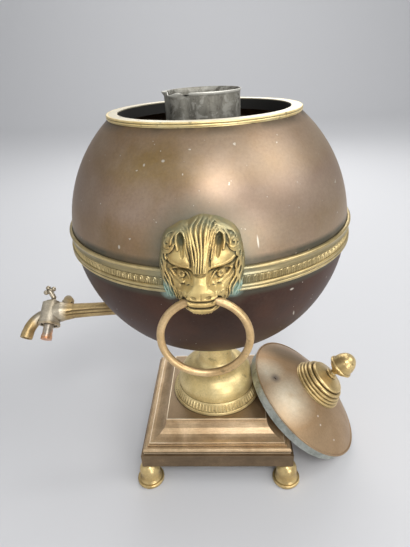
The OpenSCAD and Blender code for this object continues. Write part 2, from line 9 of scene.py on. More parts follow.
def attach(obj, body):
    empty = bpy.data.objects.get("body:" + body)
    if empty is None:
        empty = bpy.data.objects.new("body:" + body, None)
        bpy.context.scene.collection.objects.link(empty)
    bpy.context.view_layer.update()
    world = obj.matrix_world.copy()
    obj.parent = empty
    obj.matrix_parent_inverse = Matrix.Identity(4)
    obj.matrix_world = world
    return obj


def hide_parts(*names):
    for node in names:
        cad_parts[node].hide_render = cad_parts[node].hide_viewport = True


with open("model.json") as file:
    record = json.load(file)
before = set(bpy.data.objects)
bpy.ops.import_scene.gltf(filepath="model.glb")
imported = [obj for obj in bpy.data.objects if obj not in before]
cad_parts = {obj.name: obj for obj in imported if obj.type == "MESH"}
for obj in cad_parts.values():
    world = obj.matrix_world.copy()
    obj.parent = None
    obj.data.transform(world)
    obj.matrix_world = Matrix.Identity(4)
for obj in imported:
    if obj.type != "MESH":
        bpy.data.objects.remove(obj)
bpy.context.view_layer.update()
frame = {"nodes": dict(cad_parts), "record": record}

# Sizes and places of pieces are in millimetres, and become metres as a piece is finished
MM = 0.001
GLOBE_R = 126.0
GLOBE_Z = 276.0
# What is seated on the globe starts this far from its middle, a thin gap off the copper
SEAT_R = GLOBE_R + 0.05
BELT_H = 19.0
BELT_OUT = 2.6
MOUTH_R = 73.4
RIM_TOP = 375.97
TUBE_R = 31.0
TUBE_WALL = 0.9
TUBE_FOOT = 155.4
TUBE_TOP = 390.47
PLINTH_TOP = 67.8
BELL_R = 43.0
BORDER_R = 50.1
BORDER_H = 11.4
HINGE_Y = 146.0
HINGE_Z = 273.0
RING_R = 31.2
WIRE_R = 2.8
SHANK_Z = 182.5
TAP_REACH = 170.5
# Worn, dark and speckled places on the lid
LID_PALE = ((58.0, -16.0, 99.5), (80.0, -42.0, 88.0))
LID_DARK = (85.0, 26.0, 90.0)
STEAM_HOLE = (65.8, -23.4, 96.7)
LID_SPECKS = ((108.9, -49.7, 66.6), (110.6, -56.7, 60.8), (125.6, -60.0, 42.0))


# ---- Making pieces ----

def pick_none():
    """Nothing stays selected, so the next operator acts on its own piece alone."""
    if bpy.context.object and bpy.context.object.mode != "OBJECT":
        bpy.ops.object.mode_set(mode="OBJECT")
    bpy.ops.object.select_all(action="DESELECT")


def pick(*objs):
    """Selects these pieces, the first as the active one."""
    pick_none()
    for o in objs:
        o.select_set(True)
    bpy.context.view_layer.objects.active = objs[0]


def apply_all(obj):
    """Applies every modifier of a piece, in order."""
    pick(obj)
    for m in list(obj.modifiers):
        bpy.ops.object.modifier_apply(modifier=m.name)


def placed(obj):
    """Puts the object's own place, turn and size into its mesh."""
    pick(obj)
    bpy.ops.object.transform_apply(location=True, rotation=True, scale=True)


def joined(name, objs):
    """One piece made of several meshes, each at its place."""
    for o in objs:
        placed(o)
    pick(*objs)
    bpy.ops.object.join()
    obj = bpy.context.object
    obj.name = obj.data.name = name
    return obj


def finished(obj, name, body, finish, slot, *nodes, angle=40):
    """Scales a piece from millimetres and gives it its body, finish and the nodes it replaces; its slot is
    not used.
    """
    placed(obj)
    obj.name = obj.data.name = name
    obj.data.transform(Matrix.Scale(MM, 4))
    pick(obj)
    bpy.ops.object.shade_smooth_by_angle(angle=math.radians(angle))
    obj.data.materials.clear()
    obj.data.materials.append(finish)
    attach(obj, body)
    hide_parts(*nodes)


def turned(outline, steps):
    """A turned piece: a closed outline of (radius, height) points, drawn and spun about Z."""
    pick_none()
    bpy.ops.mesh.primitive_plane_add(size=0.01, location=(outline[0][0], 0, outline[0][1]))
    obj = bpy.context.object
    placed(obj)
    bpy.ops.object.mode_set(mode="EDIT")
    bpy.ops.mesh.select_all(action="SELECT")
    bpy.ops.mesh.merge(type="CENTER")
    path = outline + outline[:1]
    for (r0, z0), (r1, z1) in zip(path, path[1:]):
        bpy.ops.mesh.extrude_region_move(TRANSFORM_OT_translate={"value": (r1 - r0, 0, z1 - z0)})
    bpy.ops.mesh.select_all(action="SELECT")
    bpy.ops.mesh.remove_doubles(threshold=0.0005)
    bpy.ops.mesh.spin(steps=steps, angle=2 * math.pi, center=(0, 0, 0), axis=(0, 0, 1))
    bpy.ops.mesh.select_all(action="SELECT")
    bpy.ops.mesh.remove_doubles(threshold=0.002)
    bpy.ops.mesh.normals_make_consistent(inside=False)
    bpy.ops.object.mode_set(mode="OBJECT")
    return obj


def bead_line(x, z, r, a, b):
    """Points of a bead's outline about (x, z), from angle a to angle b in degrees."""
    steps = 6
    ways = [math.radians(a + (b - a) * i / steps) for i in range(steps + 1)]
    return [(x + r * math.cos(way), z + r * math.sin(way)) for way in ways]


def round_about(obj, count):
    """Copies of a small mesh set round the Z axis, joined into one piece."""
    placed(obj)
    copies = [obj]
    for i in range(1, count):
        pick(obj)
        bpy.ops.object.duplicate(linked=False)
        twin = bpy.context.object
        twin.rotation_euler = (0, 0, math.radians(360.0 * i / count))
        copies.append(twin)
    pick(*copies)
    bpy.ops.object.transform_apply(location=True, rotation=True, scale=True)
    bpy.ops.object.join()
    return bpy.context.object


def rib(points, thick):
    """One raised rib: the places along it, with its half thickness at each."""
    sizes = thick if isinstance(thick, (list, tuple)) else [thick] * len(points)
    return [(Vector(pt), k) for pt, k in zip(points, sizes)]


def ribs(rows):
    """Ribs with few faces, because each is repeated many times."""
    pick_none()
    curve = bpy.data.curves.new("ribs", "CURVE")
    curve.dimensions = "3D"
    curve.bevel_depth = 1.0
    curve.bevel_resolution = 0
    curve.resolution_u = 1
    for row in rows:
        spline = curve.splines.new("POLY")
        spline.points.add(len(row) - 1)
        for point, (place, thick) in zip(spline.points, row):
            point.co = (*place, 1.0)
            point.radius = thick
    obj = bpy.data.objects.new("ribs", curve)
    bpy.context.collection.objects.link(obj)
    pick(obj)
    bpy.ops.object.convert(target="MESH")
    return bpy.context.object


# ---- Finishes ----

class Finish:
    """One procedural finish: a metal shader, and helpers that add nodes in front of it."""

    def __init__(self, name, metallic, roughness=0.35):
        """A new metal: its name, and how much of it is bare and dull before any node says so."""
        self.mat = bpy.data.materials.new(name)
        self.mat.use_nodes = True
        self.tree = self.mat.node_tree
        self.shader = self.tree.nodes["Principled BSDF"]
        self.shader.inputs["Metallic"].default_value = metallic
        self.shader.inputs["Roughness"].default_value = roughness
        self.where = self.tree.nodes.new("ShaderNodeTexCoord").outputs["Object"]

    def add(self, kind, inputs=None, output=0, **settings):
        """Adds a node. Inputs are values or other nodes' sockets, by name or number."""
        n = self.tree.nodes.new("ShaderNode" + kind)
        for k, v in settings.items():
            setattr(n, k, v)
        for k, v in (inputs or {}).items():
            if isinstance(v, bpy.types.NodeSocket):
                self.tree.links.new(v, n.inputs[k])
            else:
                n.inputs[k].default_value = v
        return n.outputs[output]

    def noise(self, scale, detail, rough, stretch=None, warp=0.0):
        """Noise from 0 to 1 on the piece's own place."""
        src = self.where
        if stretch:
            src = self.add("Mapping", {"Vector": src, "Scale": stretch})
        return self.add("TexNoise", {"Vector": src, "Scale": scale, "Detail": detail, "Roughness": rough,
                                     "Distortion": warp})

    def ramp(self, fac, low, high, a=0.0, b=1.0):
        """Maps low..high to a..b, held at both ends."""
        return self.add("MapRange", {"Value": fac, "From Min": low, "From Max": high,
                                     "To Min": a, "To Max": b})

    def math(self, op, a, b=0.0):
        """One step of arithmetic on one or two values."""
        return self.add("Math", {0: a, 1: b}, operation=op)

    def mix(self, fac, a, b):
        """Mixes two colours."""
        n = self.tree.nodes.new("ShaderNodeMix")
        n.data_type = "RGBA"
        for k, v in ((0, fac), (6, a), (7, b)):
            if isinstance(v, bpy.types.NodeSocket):
                self.tree.links.new(v, n.inputs[k])
            else:
                n.inputs[k].default_value = v if k == 0 else (*v, 1.0)
        return n.outputs[2]

    def near(self, place, r0, r1):
        """1 within r0 of a place in millimetres, fading to 0 at r1."""
        place = tuple(c * MM for c in place)
        d = self.add("VectorMath", {0: self.where, 1: place}, output=1, operation="DISTANCE")
        return self.ramp(d, r0 * MM, r1 * MM, 1.0, 0.0)

    def mark(self, place, size, turn=(0, 0, 0), soft=0.5):
        """1 inside an oval patch at a place in millimetres, turned in degrees, fading to 0 at its edge."""
        v = self.add("Mapping", {"Vector": self.where, "Location": tuple(c * MM for c in place),
                                 "Rotation": tuple(math.radians(c) for c in turn),
                                 "Scale": tuple(c * MM for c in size)}, vector_type="TEXTURE")
        far = self.add("VectorMath", {0: v}, output=1, operation="LENGTH")
        return self.ramp(far, 1 - soft, 1.0, 1.0, 0.0)

    def scratch(self, a, b, half):
        """A thin line of bare metal from one place to another."""
        a, b = Vector(a), Vector(b)
        turn = (b - a).to_track_quat("X", "Z").to_euler()
        return self.mark((a + b) / 2, ((b - a).length / 2, half, half), [math.degrees(c) for c in turn])

    def any_of(self, *masks):
        """The strongest of several masks."""
        out = masks[0]
        for m in masks[1:]:
            out = self.math("MAXIMUM", out, m)
        return out

    def axis(self, name):
        """Height or place along an axis, in millimetres."""
        along = self.add("SeparateXYZ", {0: self.where}, output="XYZ".index(name))
        return self.math("MULTIPLY", along, 1 / MM)

    def around(self):
        """Distance from the upright axis of the urn, in millimetres."""
        flat = self.add("VectorMath", {0: self.where, 1: (1, 1, 0)}, operation="MULTIPLY")
        far = self.add("VectorMath", {0: flat}, output=1, operation="LENGTH")
        return self.math("MULTIPLY", far, 1 / MM)

    def square(self):
        """Half width of the upright square that a place lies on, in millimetres."""
        x, y = self.math("ABSOLUTE", self.axis("X")), self.math("ABSOLUTE", self.axis("Y"))
        return self.math("MAXIMUM", x, y)

    def band(self, value, low, high, soft):
        """1 while a value is between two limits, fading to 0 outside them."""
        above, below = self.ramp(value, low - soft, low), self.ramp(value, high, high + soft, 1.0, 0.0)
        return self.math("MULTIPLY", above, below)

    def hollow(self, distance, open_level, shut_level):
        """1 deep in a hollow, 0 where the surface lies open, by ambient occlusion: where the finishes paint
        shade into hollows and corners.
        """
        shade = self.add("AmbientOcclusion", {"Distance": distance * MM}, output=1, samples=8)
        return self.ramp(shade, shut_level, open_level, 1.0, 0.0)

    def colour(self, socket):
        """Gives the metal its colour."""
        self.tree.links.new(socket, self.shader.inputs["Base Color"])

    def metal(self, socket):
        """Says how much of it is bare metal."""
        self.tree.links.new(socket, self.shader.inputs["Metallic"])

    def rough(self, socket):
        """Says how dull it is."""
        self.tree.links.new(socket, self.shader.inputs["Roughness"])

    def bump(self, height, depth, strength=1.0):
        """Raises the surface by depth millimetres where height is 1."""
        n = self.add("Bump", {"Height": height, "Strength": strength, "Distance": depth * MM})
        self.tree.links.new(n, self.shader.inputs["Normal"])


VERDIGRIS = (0.33, 0.47, 0.40)
# Near-black painted shade for deep hollows and corners
HOLLOW_SHADE = (0.045, 0.035, 0.025)


def copper_finish():
    """The globe's old copper: brown patina, paler and greyer above the belt and dark red-brown below it,
    where it is painted darker as shade; above the belt, painted shade to the left and painted light to the
    right; painted shade round the rim's foot and near black inside the mouth.
    """
    f = Finish("copper_globe", metallic=0.62, roughness=0.4)
    x, z = f.axis("X"), f.axis("Z")
    cloud = f.noise(9.0, 5.0, 0.62, warp=0.8)
    patch = f.noise(38.0, 6.0, 0.62)
    fine = f.noise(460.0, 4.0, 0.7)
    # Painted shade on the left of the upper half, painted light on its right
    upper = f.mix(f.ramp(x, -95, 70), (0.245, 0.148, 0.058), (0.360, 0.262, 0.160))
    upper = f.mix(f.ramp(cloud, 0.40, 0.62, 0.0, 0.75), upper, (0.345, 0.222, 0.140))
    upper = f.mix(f.mark((-36, -96, 348), (44, 40, 24), soft=0.8), upper, (0.300, 0.190, 0.062))
    rosy = f.math("MULTIPLY", f.band(z, 318, 334, 10), f.ramp(cloud, 0.35, 0.6, 0.2, 0.7))
    upper = f.mix(rosy, upper, (0.35, 0.250, 0.190))
    upper = f.mix(f.ramp(patch, 0.35, 0.72, 0.0, 0.5), upper, (0.42, 0.33, 0.25))
    # Below the belt: red-brown copper, painted very dark as shade
    lower = f.mix(f.ramp(cloud, 0.38, 0.62), (0.036, 0.015, 0.009), (0.070, 0.028, 0.016))
    lower = f.mix(f.ramp(patch, 0.45, 0.75, 0.0, 0.5), lower, (0.115, 0.048, 0.027))
    base = f.mix(f.ramp(z, 262, 290), lower, upper)
    base = f.mix(f.ramp(fine, 0.3, 0.8, 0.0, 0.3), base, (0.10, 0.07, 0.05))
    halo = f.math("MULTIPLY", f.near((0, -126, 292), 27, 47), f.ramp(patch, 0.3, 0.6, 0.45, 1.0))
    base = f.mix(f.math("MULTIPLY", halo, 0.8), base, (0.165, 0.17, 0.125))
    darkening = f.math("MULTIPLY", f.band(z, 263, 289, 3.5), f.ramp(patch, 0.3, 0.6, 0.45, 0.95))
    base = f.mix(darkening, base, (0.085, 0.08, 0.055))
    # Painted shade on the copper round the rim's foot
    rim_shade = f.math("MULTIPLY", f.ramp(z, 366, 371), f.ramp(patch, 0.35, 0.6, 0.2, 0.8))
    base = f.mix(rim_shade, base, (0.09, 0.07, 0.045))
    green = f.any_of(f.mark((-25.5, -123.5, 266), (8, 9, 7.5), soft=0.6),
                     f.mark((20, -124.5, 266), (9, 9, 6), soft=0.6))
    base = f.mix(f.math("MULTIPLY", green, f.ramp(fine, 0.3, 0.6, 0.5, 1.0)), base, VERDIGRIS)
    bare = f.any_of(f.scratch((37.4, -116.5, 306.1), (38.7, -118.3, 295.6), 0.75),
                    f.scratch((83, -94, 269), (96, -81, 263), 0.6),
                    f.mark((64.7, -106.3, 256.4), (2.2, 2, 1.2)),
                    f.scratch((68.5, -95, 231), (70, -90, 222), 0.9),
                    f.mark((-61.2, -108.3, 295.9), (1.2, 1.2, 1.8)),
                    f.mark((-25.3, -96.2, 353.4), (1.5, 1.5, 1.1)),
                    f.mark((-39.1, -93.7, 350.6), (1, 1, 1.6)),
                    f.ramp(f.noise(230.0, 2.0, 0.5), 0.735, 0.76))
    base = f.mix(f.math("MULTIPLY", bare, 0.85), base, (0.62, 0.57, 0.48))
    # Near black painted shade inside the mouth
    inside = f.math("MULTIPLY", f.ramp(f.around(), 74.5, 75.5, 1.0, 0.0), f.ramp(z, 360, 362))
    base = f.mix(inside, base, (0.01, 0.01, 0.008))
    f.colour(base)
    f.metal(f.math("MULTIPLY", f.ramp(green, 0, 1, 0.62, 0.0), f.ramp(z, 262, 290, 1.0, 0.95)))
    f.rough(f.math("ADD", f.ramp(patch, 0.2, 0.8, 0.34, 0.47), f.ramp(z, 262, 290, 0.08, 0.0)))
    f.bump(f.math("ADD", f.math("MULTIPLY", fine, 0.3), patch), 0.12, 0.6)
    return f.mat


def lid_finish():
    """The lid's copper: golden brown with a worn pale side, dark at the top and round the steam hole."""
    f = Finish("copper_lid", metallic=0.6, roughness=0.4)
    cloud = f.noise(14.0, 5.0, 0.6, warp=0.6)
    patch = f.noise(60.0, 5.0, 0.65)
    fine = f.noise(480.0, 3.0, 0.7)
    base = f.mix(f.ramp(cloud, 0.36, 0.64), (0.32, 0.195, 0.090), (0.43, 0.29, 0.165))
    pale = f.any_of(f.near(LID_PALE[0], 3, 24), f.near(LID_PALE[1], 6, 34))
    base = f.mix(f.math("MULTIPLY", pale, f.ramp(patch, 0.25, 0.6, 0.45, 0.95)), base, (0.60, 0.53, 0.40))
    dark = f.math("MULTIPLY", f.mark(LID_DARK, (40, 21, 30), soft=0.6), 0.8)
    base = f.mix(dark, base, (0.19, 0.125, 0.06))
    base = f.mix(f.math("MULTIPLY", f.near(STEAM_HOLE, 2, 7), 0.75), base, (0.12, 0.10, 0.09))
    base = f.mix(f.ramp(fine, 0.35, 0.8, 0.0, 0.3), base, (0.13, 0.095, 0.06))
    specks = f.any_of(*[f.near(p, 0.5, 1.3) for p in LID_SPECKS])
    base = f.mix(specks, base, (0.75, 0.68, 0.58))
    f.colour(base)
    f.rough(f.ramp(patch, 0.2, 0.8, 0.33, 0.5))
    f.bump(f.math("ADD", f.math("MULTIPLY", fine, 0.3), patch), 0.1, 0.6)
    return f.mat


def brass_finish(name, low, high, rough=(0.26, 0.42), darkening=0.75, metallic=0.72, reach=4.0):
    """Aged brass: two tones in clouds, brown painted shade in the corners, fine scratches and tarnish
    spots.
    """
    f = Finish(name, metallic=metallic)
    patch = f.noise(45.0, 6.0, 0.62, warp=0.3)
    fine = f.noise(520.0, 3.0, 0.7)
    base = f.mix(f.ramp(patch, 0.36, 0.66), low, high)
    base = f.mix(f.ramp(fine, 0.35, 0.8, 0.0, 0.35), base, tuple(c * 0.45 for c in low))
    base = f.mix(f.ramp(f.noise(130.0, 3.0, 0.6), 0.64, 0.72, 0.0, 0.6), base, tuple(c * 0.4 for c in low))
    # Brown painted shade in the corners and hollows
    base = f.mix(f.math("MULTIPLY", f.hollow(reach, 0.9, 0.4), darkening), base, (0.075, 0.05, 0.025))
    f.colour(base)
    f.rough(f.ramp(patch, 0.2, 0.8, *rough))
    f.bump(fine, 0.03)
    return f.mat


def cast_brass_finish():
    """Cast and stamped brass: bright on the high places, olive patina with painted shade in the wider
    hollows, green-grey lower down, near black painted shade in the deep hollows.
    """
    f = Finish("brass_cast", metallic=0.75)
    patch = f.noise(80.0, 5.0, 0.6)
    fine = f.noise(650.0, 3.0, 0.65)
    wide, deep = f.hollow(5.0, 0.88, 0.35), f.hollow(1.8, 0.85, 0.3)
    base = f.mix(f.ramp(patch, 0.35, 0.68), (0.56, 0.39, 0.15), (0.84, 0.65, 0.28))
    # Olive patina in the wider hollows, darkened there as painted shade
    base = f.mix(f.math("MULTIPLY", wide, 0.85), base, (0.22, 0.185, 0.09))
    # Near black painted shade in the deep hollows
    base = f.mix(f.math("MULTIPLY", deep, 0.92), base, HOLLOW_SHADE)
    side = f.ramp(f.math("ABSOLUTE", f.axis("Y")), 126.5, 132, 0.9, 0.0)
    base = f.mix(f.math("MULTIPLY", side, f.ramp(patch, 0.35, 0.6, 0.4, 0.95)), base, (0.235, 0.245, 0.16))
    green = f.any_of(f.mark((-26.5, -127, 268), (10, 14, 12), soft=0.5),
                     f.mark((25, -127, 269), (10, 14, 10), soft=0.5))
    base = f.mix(f.math("MULTIPLY", green, f.ramp(fine, 0.3, 0.6, 0.55, 1.0)), base, VERDIGRIS)
    f.colour(base)
    f.metal(f.ramp(f.any_of(green, f.math("MULTIPLY", deep, 0.6)), 0, 1, 0.66, 0.1))
    f.rough(f.ramp(f.any_of(wide, green), 0.0, 1.0, 0.42, 0.75))
    f.bump(fine, 0.04)
    return f.mat


def belt_finish():
    """The stamped belt: brass with painted shade dark between its beads, grey-green tarnish on its plain
    band and by the mask.
    """
    f = Finish("brass_belt", metallic=0.75)
    patch = f.noise(40.0, 5.0, 0.6)
    fine = f.noise(650.0, 3.0, 0.65)
    deep = f.hollow(1.6, 0.88, 0.35)
    base = f.mix(f.ramp(patch, 0.38, 0.64), (0.46, 0.36, 0.17), (0.74, 0.58, 0.29))
    # Painted shade, dark, in the hollows between the beads
    base = f.mix(f.math("MULTIPLY", deep, 0.9), base, (0.07, 0.06, 0.035))
    tarnish = f.math("MULTIPLY", f.band(f.axis("Z"), 278.4, 283.2, 0.4), f.ramp(patch, 0.3, 0.6, 0.2, 0.75))
    base = f.mix(tarnish, base, (0.20, 0.18, 0.11))
    base = f.mix(f.math("MULTIPLY", f.near((0, -127, 276), 30, 44), 0.5), base, (0.27, 0.29, 0.21))
    f.colour(base)
    f.rough(f.ramp(deep, 0.0, 1.0, 0.33, 0.65))
    f.bump(fine, 0.03)
    return f.mat


def rim_finish():
    """The mouth's ring: gilt outside, a pale worn lip, painted shade in its hollows, and near black painted
    shade down the inside.
    """
    f = Finish("brass_rim", metallic=0.55)
    patch = f.noise(50.0, 5.0, 0.6)
    out, z = f.around(), f.axis("Z")
    base = f.mix(f.ramp(patch, 0.36, 0.66), (0.84, 0.63, 0.27), (1.0, 0.84, 0.46))
    base = f.mix(f.band(out, MOUTH_R - 0.1, MOUTH_R + 7.2, 0.5), base, (0.66, 0.59, 0.42))
    # Painted shade in the rim's hollows
    base = f.mix(f.math("MULTIPLY", f.hollow(1.5, 0.88, 0.4), 0.85), base, HOLLOW_SHADE)
    base = f.mix(f.ramp(f.noise(150.0, 3.0, 0.6), 0.62, 0.7, 0.0, 0.6), base, (0.22, 0.17, 0.09))
    # Near black painted shade down the inside of the mouth
    inside = f.math("MULTIPLY", f.ramp(out, MOUTH_R + 0.3, MOUTH_R + 0.5, 1.0, 0.0),
                    f.ramp(z, RIM_TOP - 0.97, RIM_TOP - 0.37, 1.0, 0.0))
    base = f.mix(inside, base, (0.012, 0.011, 0.009))
    f.colour(base)
    f.metal(f.ramp(inside, 0, 1, 0.55, 0.0))
    f.rough(f.math("ADD", f.ramp(patch, 0.2, 0.8, 0.27, 0.42), f.math("MULTIPLY", inside, 0.4)))
    return f.mat


def plinth_finish(name, low, high, edges):
    """Brown gilding on the plinth, its top face painted darker as shade, painted shade in its corners and
    painted highlights along its edges: (height, half width) of each edge.
    """
    f = Finish(name, metallic=0.6)
    patch = f.noise(40.0, 6.0, 0.62, warp=0.4)
    grain = f.noise(160.0, 4.0, 0.65, stretch=(0.25, 0.25, 1.6))
    fine = f.noise(520.0, 3.0, 0.7)
    z, out = f.axis("Z"), f.square()
    base = f.mix(f.ramp(patch, 0.34, 0.66), low, high)
    base = f.mix(f.ramp(grain, 0.4, 0.75, 0.0, 0.4), base, tuple(c * 0.5 for c in low))
    base = f.mix(f.ramp(fine, 0.35, 0.8, 0.0, 0.3), base, tuple(c * 0.35 for c in low))
    # The top face painted darker, as shade
    flat = f.ramp(z, PLINTH_TOP - 0.6, PLINTH_TOP - 0.2, 0.0, 0.8)
    base = f.mix(flat, base, tuple(c * 0.34 for c in low))
    # Painted shade in the corners
    base = f.mix(f.math("MULTIPLY", f.hollow(3.0, 0.9, 0.4), 0.85), base, (0.045, 0.032, 0.02))
    # Painted highlights along the edges
    edge_highlight = f.any_of(*[f.math("MULTIPLY", f.band(z, h - 0.5, h + 0.5, 0.5),
                               f.band(out, w - 0.5, w + 0.6, 0.5)) for h, w in edges])
    base = f.mix(f.math("MULTIPLY", edge_highlight, f.ramp(patch, 0.3, 0.6, 0.5, 1.0)), base, (0.95, 0.80, 0.58))
    f.colour(base)
    f.rough(f.ramp(patch, 0.2, 0.8, 0.28, 0.46))
    f.bump(f.math("ADD", f.math("MULTIPLY", fine, 0.3), patch), 0.08, 0.6)
    return f.mat


def tin_finish():
    """Tinned sheet gone grey: streaks down it, pale scabs and rust-brown stains."""
    f = Finish("tinned_sheet", metallic=0.6)
    streak = f.noise(70.0, 6.0, 0.7, stretch=(1, 1, 0.2))
    blots = f.noise(90.0, 6.0, 0.7, warp=0.8)
    spots = f.noise(240.0, 4.0, 0.65)
    base = f.mix(f.ramp(streak, 0.34, 0.66), (0.14, 0.13, 0.105), (0.42, 0.40, 0.34))
    base = f.mix(f.ramp(blots, 0.50, 0.58, 0.0, 0.75), base, (0.52, 0.50, 0.44))
    base = f.mix(f.ramp(blots, 0.44, 0.36, 0.0, 0.6), base, (0.12, 0.10, 0.075))
    base = f.mix(f.ramp(spots, 0.64, 0.72, 0.0, 0.8), base, (0.56, 0.55, 0.50))
    base = f.mix(f.mark((-13.5, -28.5, 388.2), (4.5, 3, 0.9)), base, (0.02, 0.018, 0.014))
    lip = f.math("MULTIPLY", f.ramp(f.around(), TUBE_R + 0.1, TUBE_R + 0.5), f.ramp(f.axis("Z"), 386, 388))
    base = f.mix(lip, base, (0.78, 0.76, 0.68))
    f.colour(base)
    f.rough(f.ramp(blots, 0.3, 0.7, 0.42, 0.65))
    f.bump(f.math("ADD", blots, spots), 0.12)
    return f.mat


def collar_finish():
    """Bright tin inside the lid's collar, blotched grey."""
    f = Finish("tinned_collar", metallic=0.75)
    blots = f.noise(75.0, 6.0, 0.7, warp=0.8)
    spots = f.noise(260.0, 4.0, 0.65)
    base = f.mix(f.ramp(blots, 0.38, 0.62), (0.27, 0.29, 0.255), (0.50, 0.52, 0.48))
    base = f.mix(f.ramp(spots, 0.58, 0.7, 0.0, 0.7), base, (0.15, 0.15, 0.12))
    f.colour(base)
    f.rough(f.ramp(blots, 0.3, 0.7, 0.36, 0.6))
    f.bump(spots, 0.05)
    return f.mat


def tap_finish():
    """The tap: golden shank and spout with flutes painted dark as shade, a paler cast body, painted shade
    in every corner.
    """
    f = Finish("brass_tap", metallic=0.7)
    patch = f.noise(60.0, 6.0, 0.62, warp=0.3)
    fine = f.noise(520.0, 3.0, 0.7)
    gold = f.mix(f.ramp(patch, 0.36, 0.66), (0.40, 0.27, 0.115), (0.66, 0.49, 0.24))
    pale = f.mix(f.ramp(patch, 0.36, 0.66), (0.44, 0.37, 0.26), (0.74, 0.66, 0.52))
    z = f.axis("Z")
    body = f.any_of(f.mark((-TAP_REACH, -14.9, SHANK_Z + 2), (21, 21, 26), soft=0.25),
                    f.ramp(z, SHANK_Z + 10, SHANK_Z + 13))
    base = f.mix(body, gold, pale)
    front = f.ramp(f.axis("Y"), -16.5, -14, 1.0, 0.0)
    # The flutes are painted dark, as shade in their grooves, and bumped in
    flutes = f.any_of(f.band(z, SHANK_Z + 3.6, SHANK_Z + 4.3, 0.5),
                      f.band(z, SHANK_Z + 0.2, SHANK_Z + 0.8, 0.5))
    flutes = f.math("MULTIPLY", f.math("MULTIPLY", flutes, front), f.band(f.axis("X"), -151, -100, 3.0))
    base = f.mix(f.math("MULTIPLY", flutes, 0.85), base, (0.09, 0.055, 0.02))
    base = f.mix(f.ramp(fine, 0.35, 0.8, 0.0, 0.35), base, (0.16, 0.12, 0.06))
    # Painted shade in every corner
    base = f.mix(f.math("MULTIPLY", f.hollow(3.0, 0.9, 0.4), 0.9), base, (0.06, 0.045, 0.025))
    f.colour(base)
    f.rough(f.ramp(patch, 0.2, 0.8, 0.34, 0.52))
    f.bump(f.math("SUBTRACT", f.math("MULTIPLY", fine, 0.05), flutes), 0.6)
    return f.mat


def cap_finish():
    """The tap's tail: pale brass above, copper showing at its worn end, painted shade in its corners."""
    f = Finish("copper_cap", metallic=0.75, roughness=0.38)
    patch = f.noise(140.0, 5.0, 0.6)
    low = min(v[2] for v in frame["nodes"]["plug_cap"].bound_box) / MM
    base = f.mix(f.ramp(patch, 0.36, 0.66), (0.36, 0.30, 0.22), (0.66, 0.60, 0.52))
    copper = f.mix(f.ramp(patch, 0.36, 0.66), (0.60, 0.27, 0.13), (0.90, 0.55, 0.34))
    worn = f.math("ADD", f.axis("Z"), f.math("MULTIPLY", patch, 6.0))
    base = f.mix(f.ramp(worn, low + 12.0, low + 15.0, 1.0, 0.0), base, copper)
    # Painted shade in the corners
    base = f.mix(f.math("MULTIPLY", f.hollow(2.0, 0.9, 0.4), 0.85), base, (0.07, 0.045, 0.025))
    f.colour(base)
    return f.mat


def iron_finish():
    """Black iron with a brown bloom."""
    f = Finish("black_iron", metallic=0.8, roughness=0.6)
    n = f.noise(120.0, 6.0, 0.7)
    f.colour(f.mix(f.ramp(n, 0.3, 0.7), (0.035, 0.03, 0.028), (0.11, 0.08, 0.06)))
    f.bump(n, 0.2)
    return f.mat


COPPER = copper_finish()
LID = lid_finish()
BRASS = brass_finish("brass_aged", (0.54, 0.385, 0.165), (0.80, 0.61, 0.29))
# The bell's brass: the aged brass painted brighter, as painted light
BRASS_BELL_LIT = brass_finish("brass_bell_lit", (0.74, 0.56, 0.24), (0.93, 0.75, 0.38), rough=(0.34, 0.48),
                          metallic=0.6)
BRASS_RING = brass_finish("brass_ring", (0.62, 0.41, 0.19), (0.84, 0.61, 0.33), rough=(0.34, 0.48))
BRASS_TAP = tap_finish()
BRASS_CAST = cast_brass_finish()
# The leaf border's brass: the aged brass painted brighter, as painted light
BRASS_LEAF_LIT = brass_finish("brass_leaf_lit", (0.70, 0.53, 0.24), (0.92, 0.75, 0.40), rough=(0.34, 0.5),
                          metallic=0.6, reach=1.6, darkening=0.9)
BRASS_BELT = belt_finish()
BRASS_RIM = rim_finish()
COPPER_CAP = cap_finish()
COVER = plinth_finish("gilt_cover", (0.52, 0.35, 0.19), (0.80, 0.59, 0.36),
                      [(42.9, 78), (51.7, 71.6), (67.4, 53.9)])
# The fascia: the cover's gilding painted much darker, as shade
FASCIA_SHADED = plinth_finish("gilt_fascia_shaded", (0.15, 0.10, 0.055), (0.25, 0.17, 0.095), [(26.3, 78.6)])
TIN = tin_finish()
TIN_COLLAR = collar_finish()
IRON = iron_finish()

BY_SLOT = {"copper": COPPER, "brass": BRASS, "tin": TIN, "iron": IRON, "copper_bright": COPPER_CAP}
BY_NODE = {"lid_dome": LID, "lid_collar": TIN_COLLAR, "plinth_cover": COVER, "plinth_fascia": FASCIA_SHADED,
           "rim_ring": BRASS_RIM, "leaf_border": BRASS_BELL_LIT, "pedestal": BRASS_BELL_LIT,
           "equator_belt": BRASS_BELT, "ring_handle_front": BRASS_RING, "ring_handle_back": BRASS_RING}
BY_NODE.update({name: BRASS_TAP for name in ("tap_shank", "tap_saddle", "tap_body", "tap_plug", "tap_key")})

# Every piece of the CAD gets the finish of its name, or else of its slot
for name, obj in frame["nodes"].items():
    slot = next(s["material_slot"] for s in frame["record"]["subparts"] if s["node"] == name)
    finish = BY_NODE.get(name, BY_SLOT[slot])
    for i in range(max(1, len(obj.material_slots))):
        if not obj.material_slots:
            obj.data.materials.append(finish)
        obj.material_slots[i].material = finish

# ---- Lion masks ----

# The middle of the mask, across and up
MASK_X = -1.0
MASK_Z = 290.0
# Heights of the two studs behind a mask, in degrees about the middle of the globe
STUDS = (15.0, -6.6)
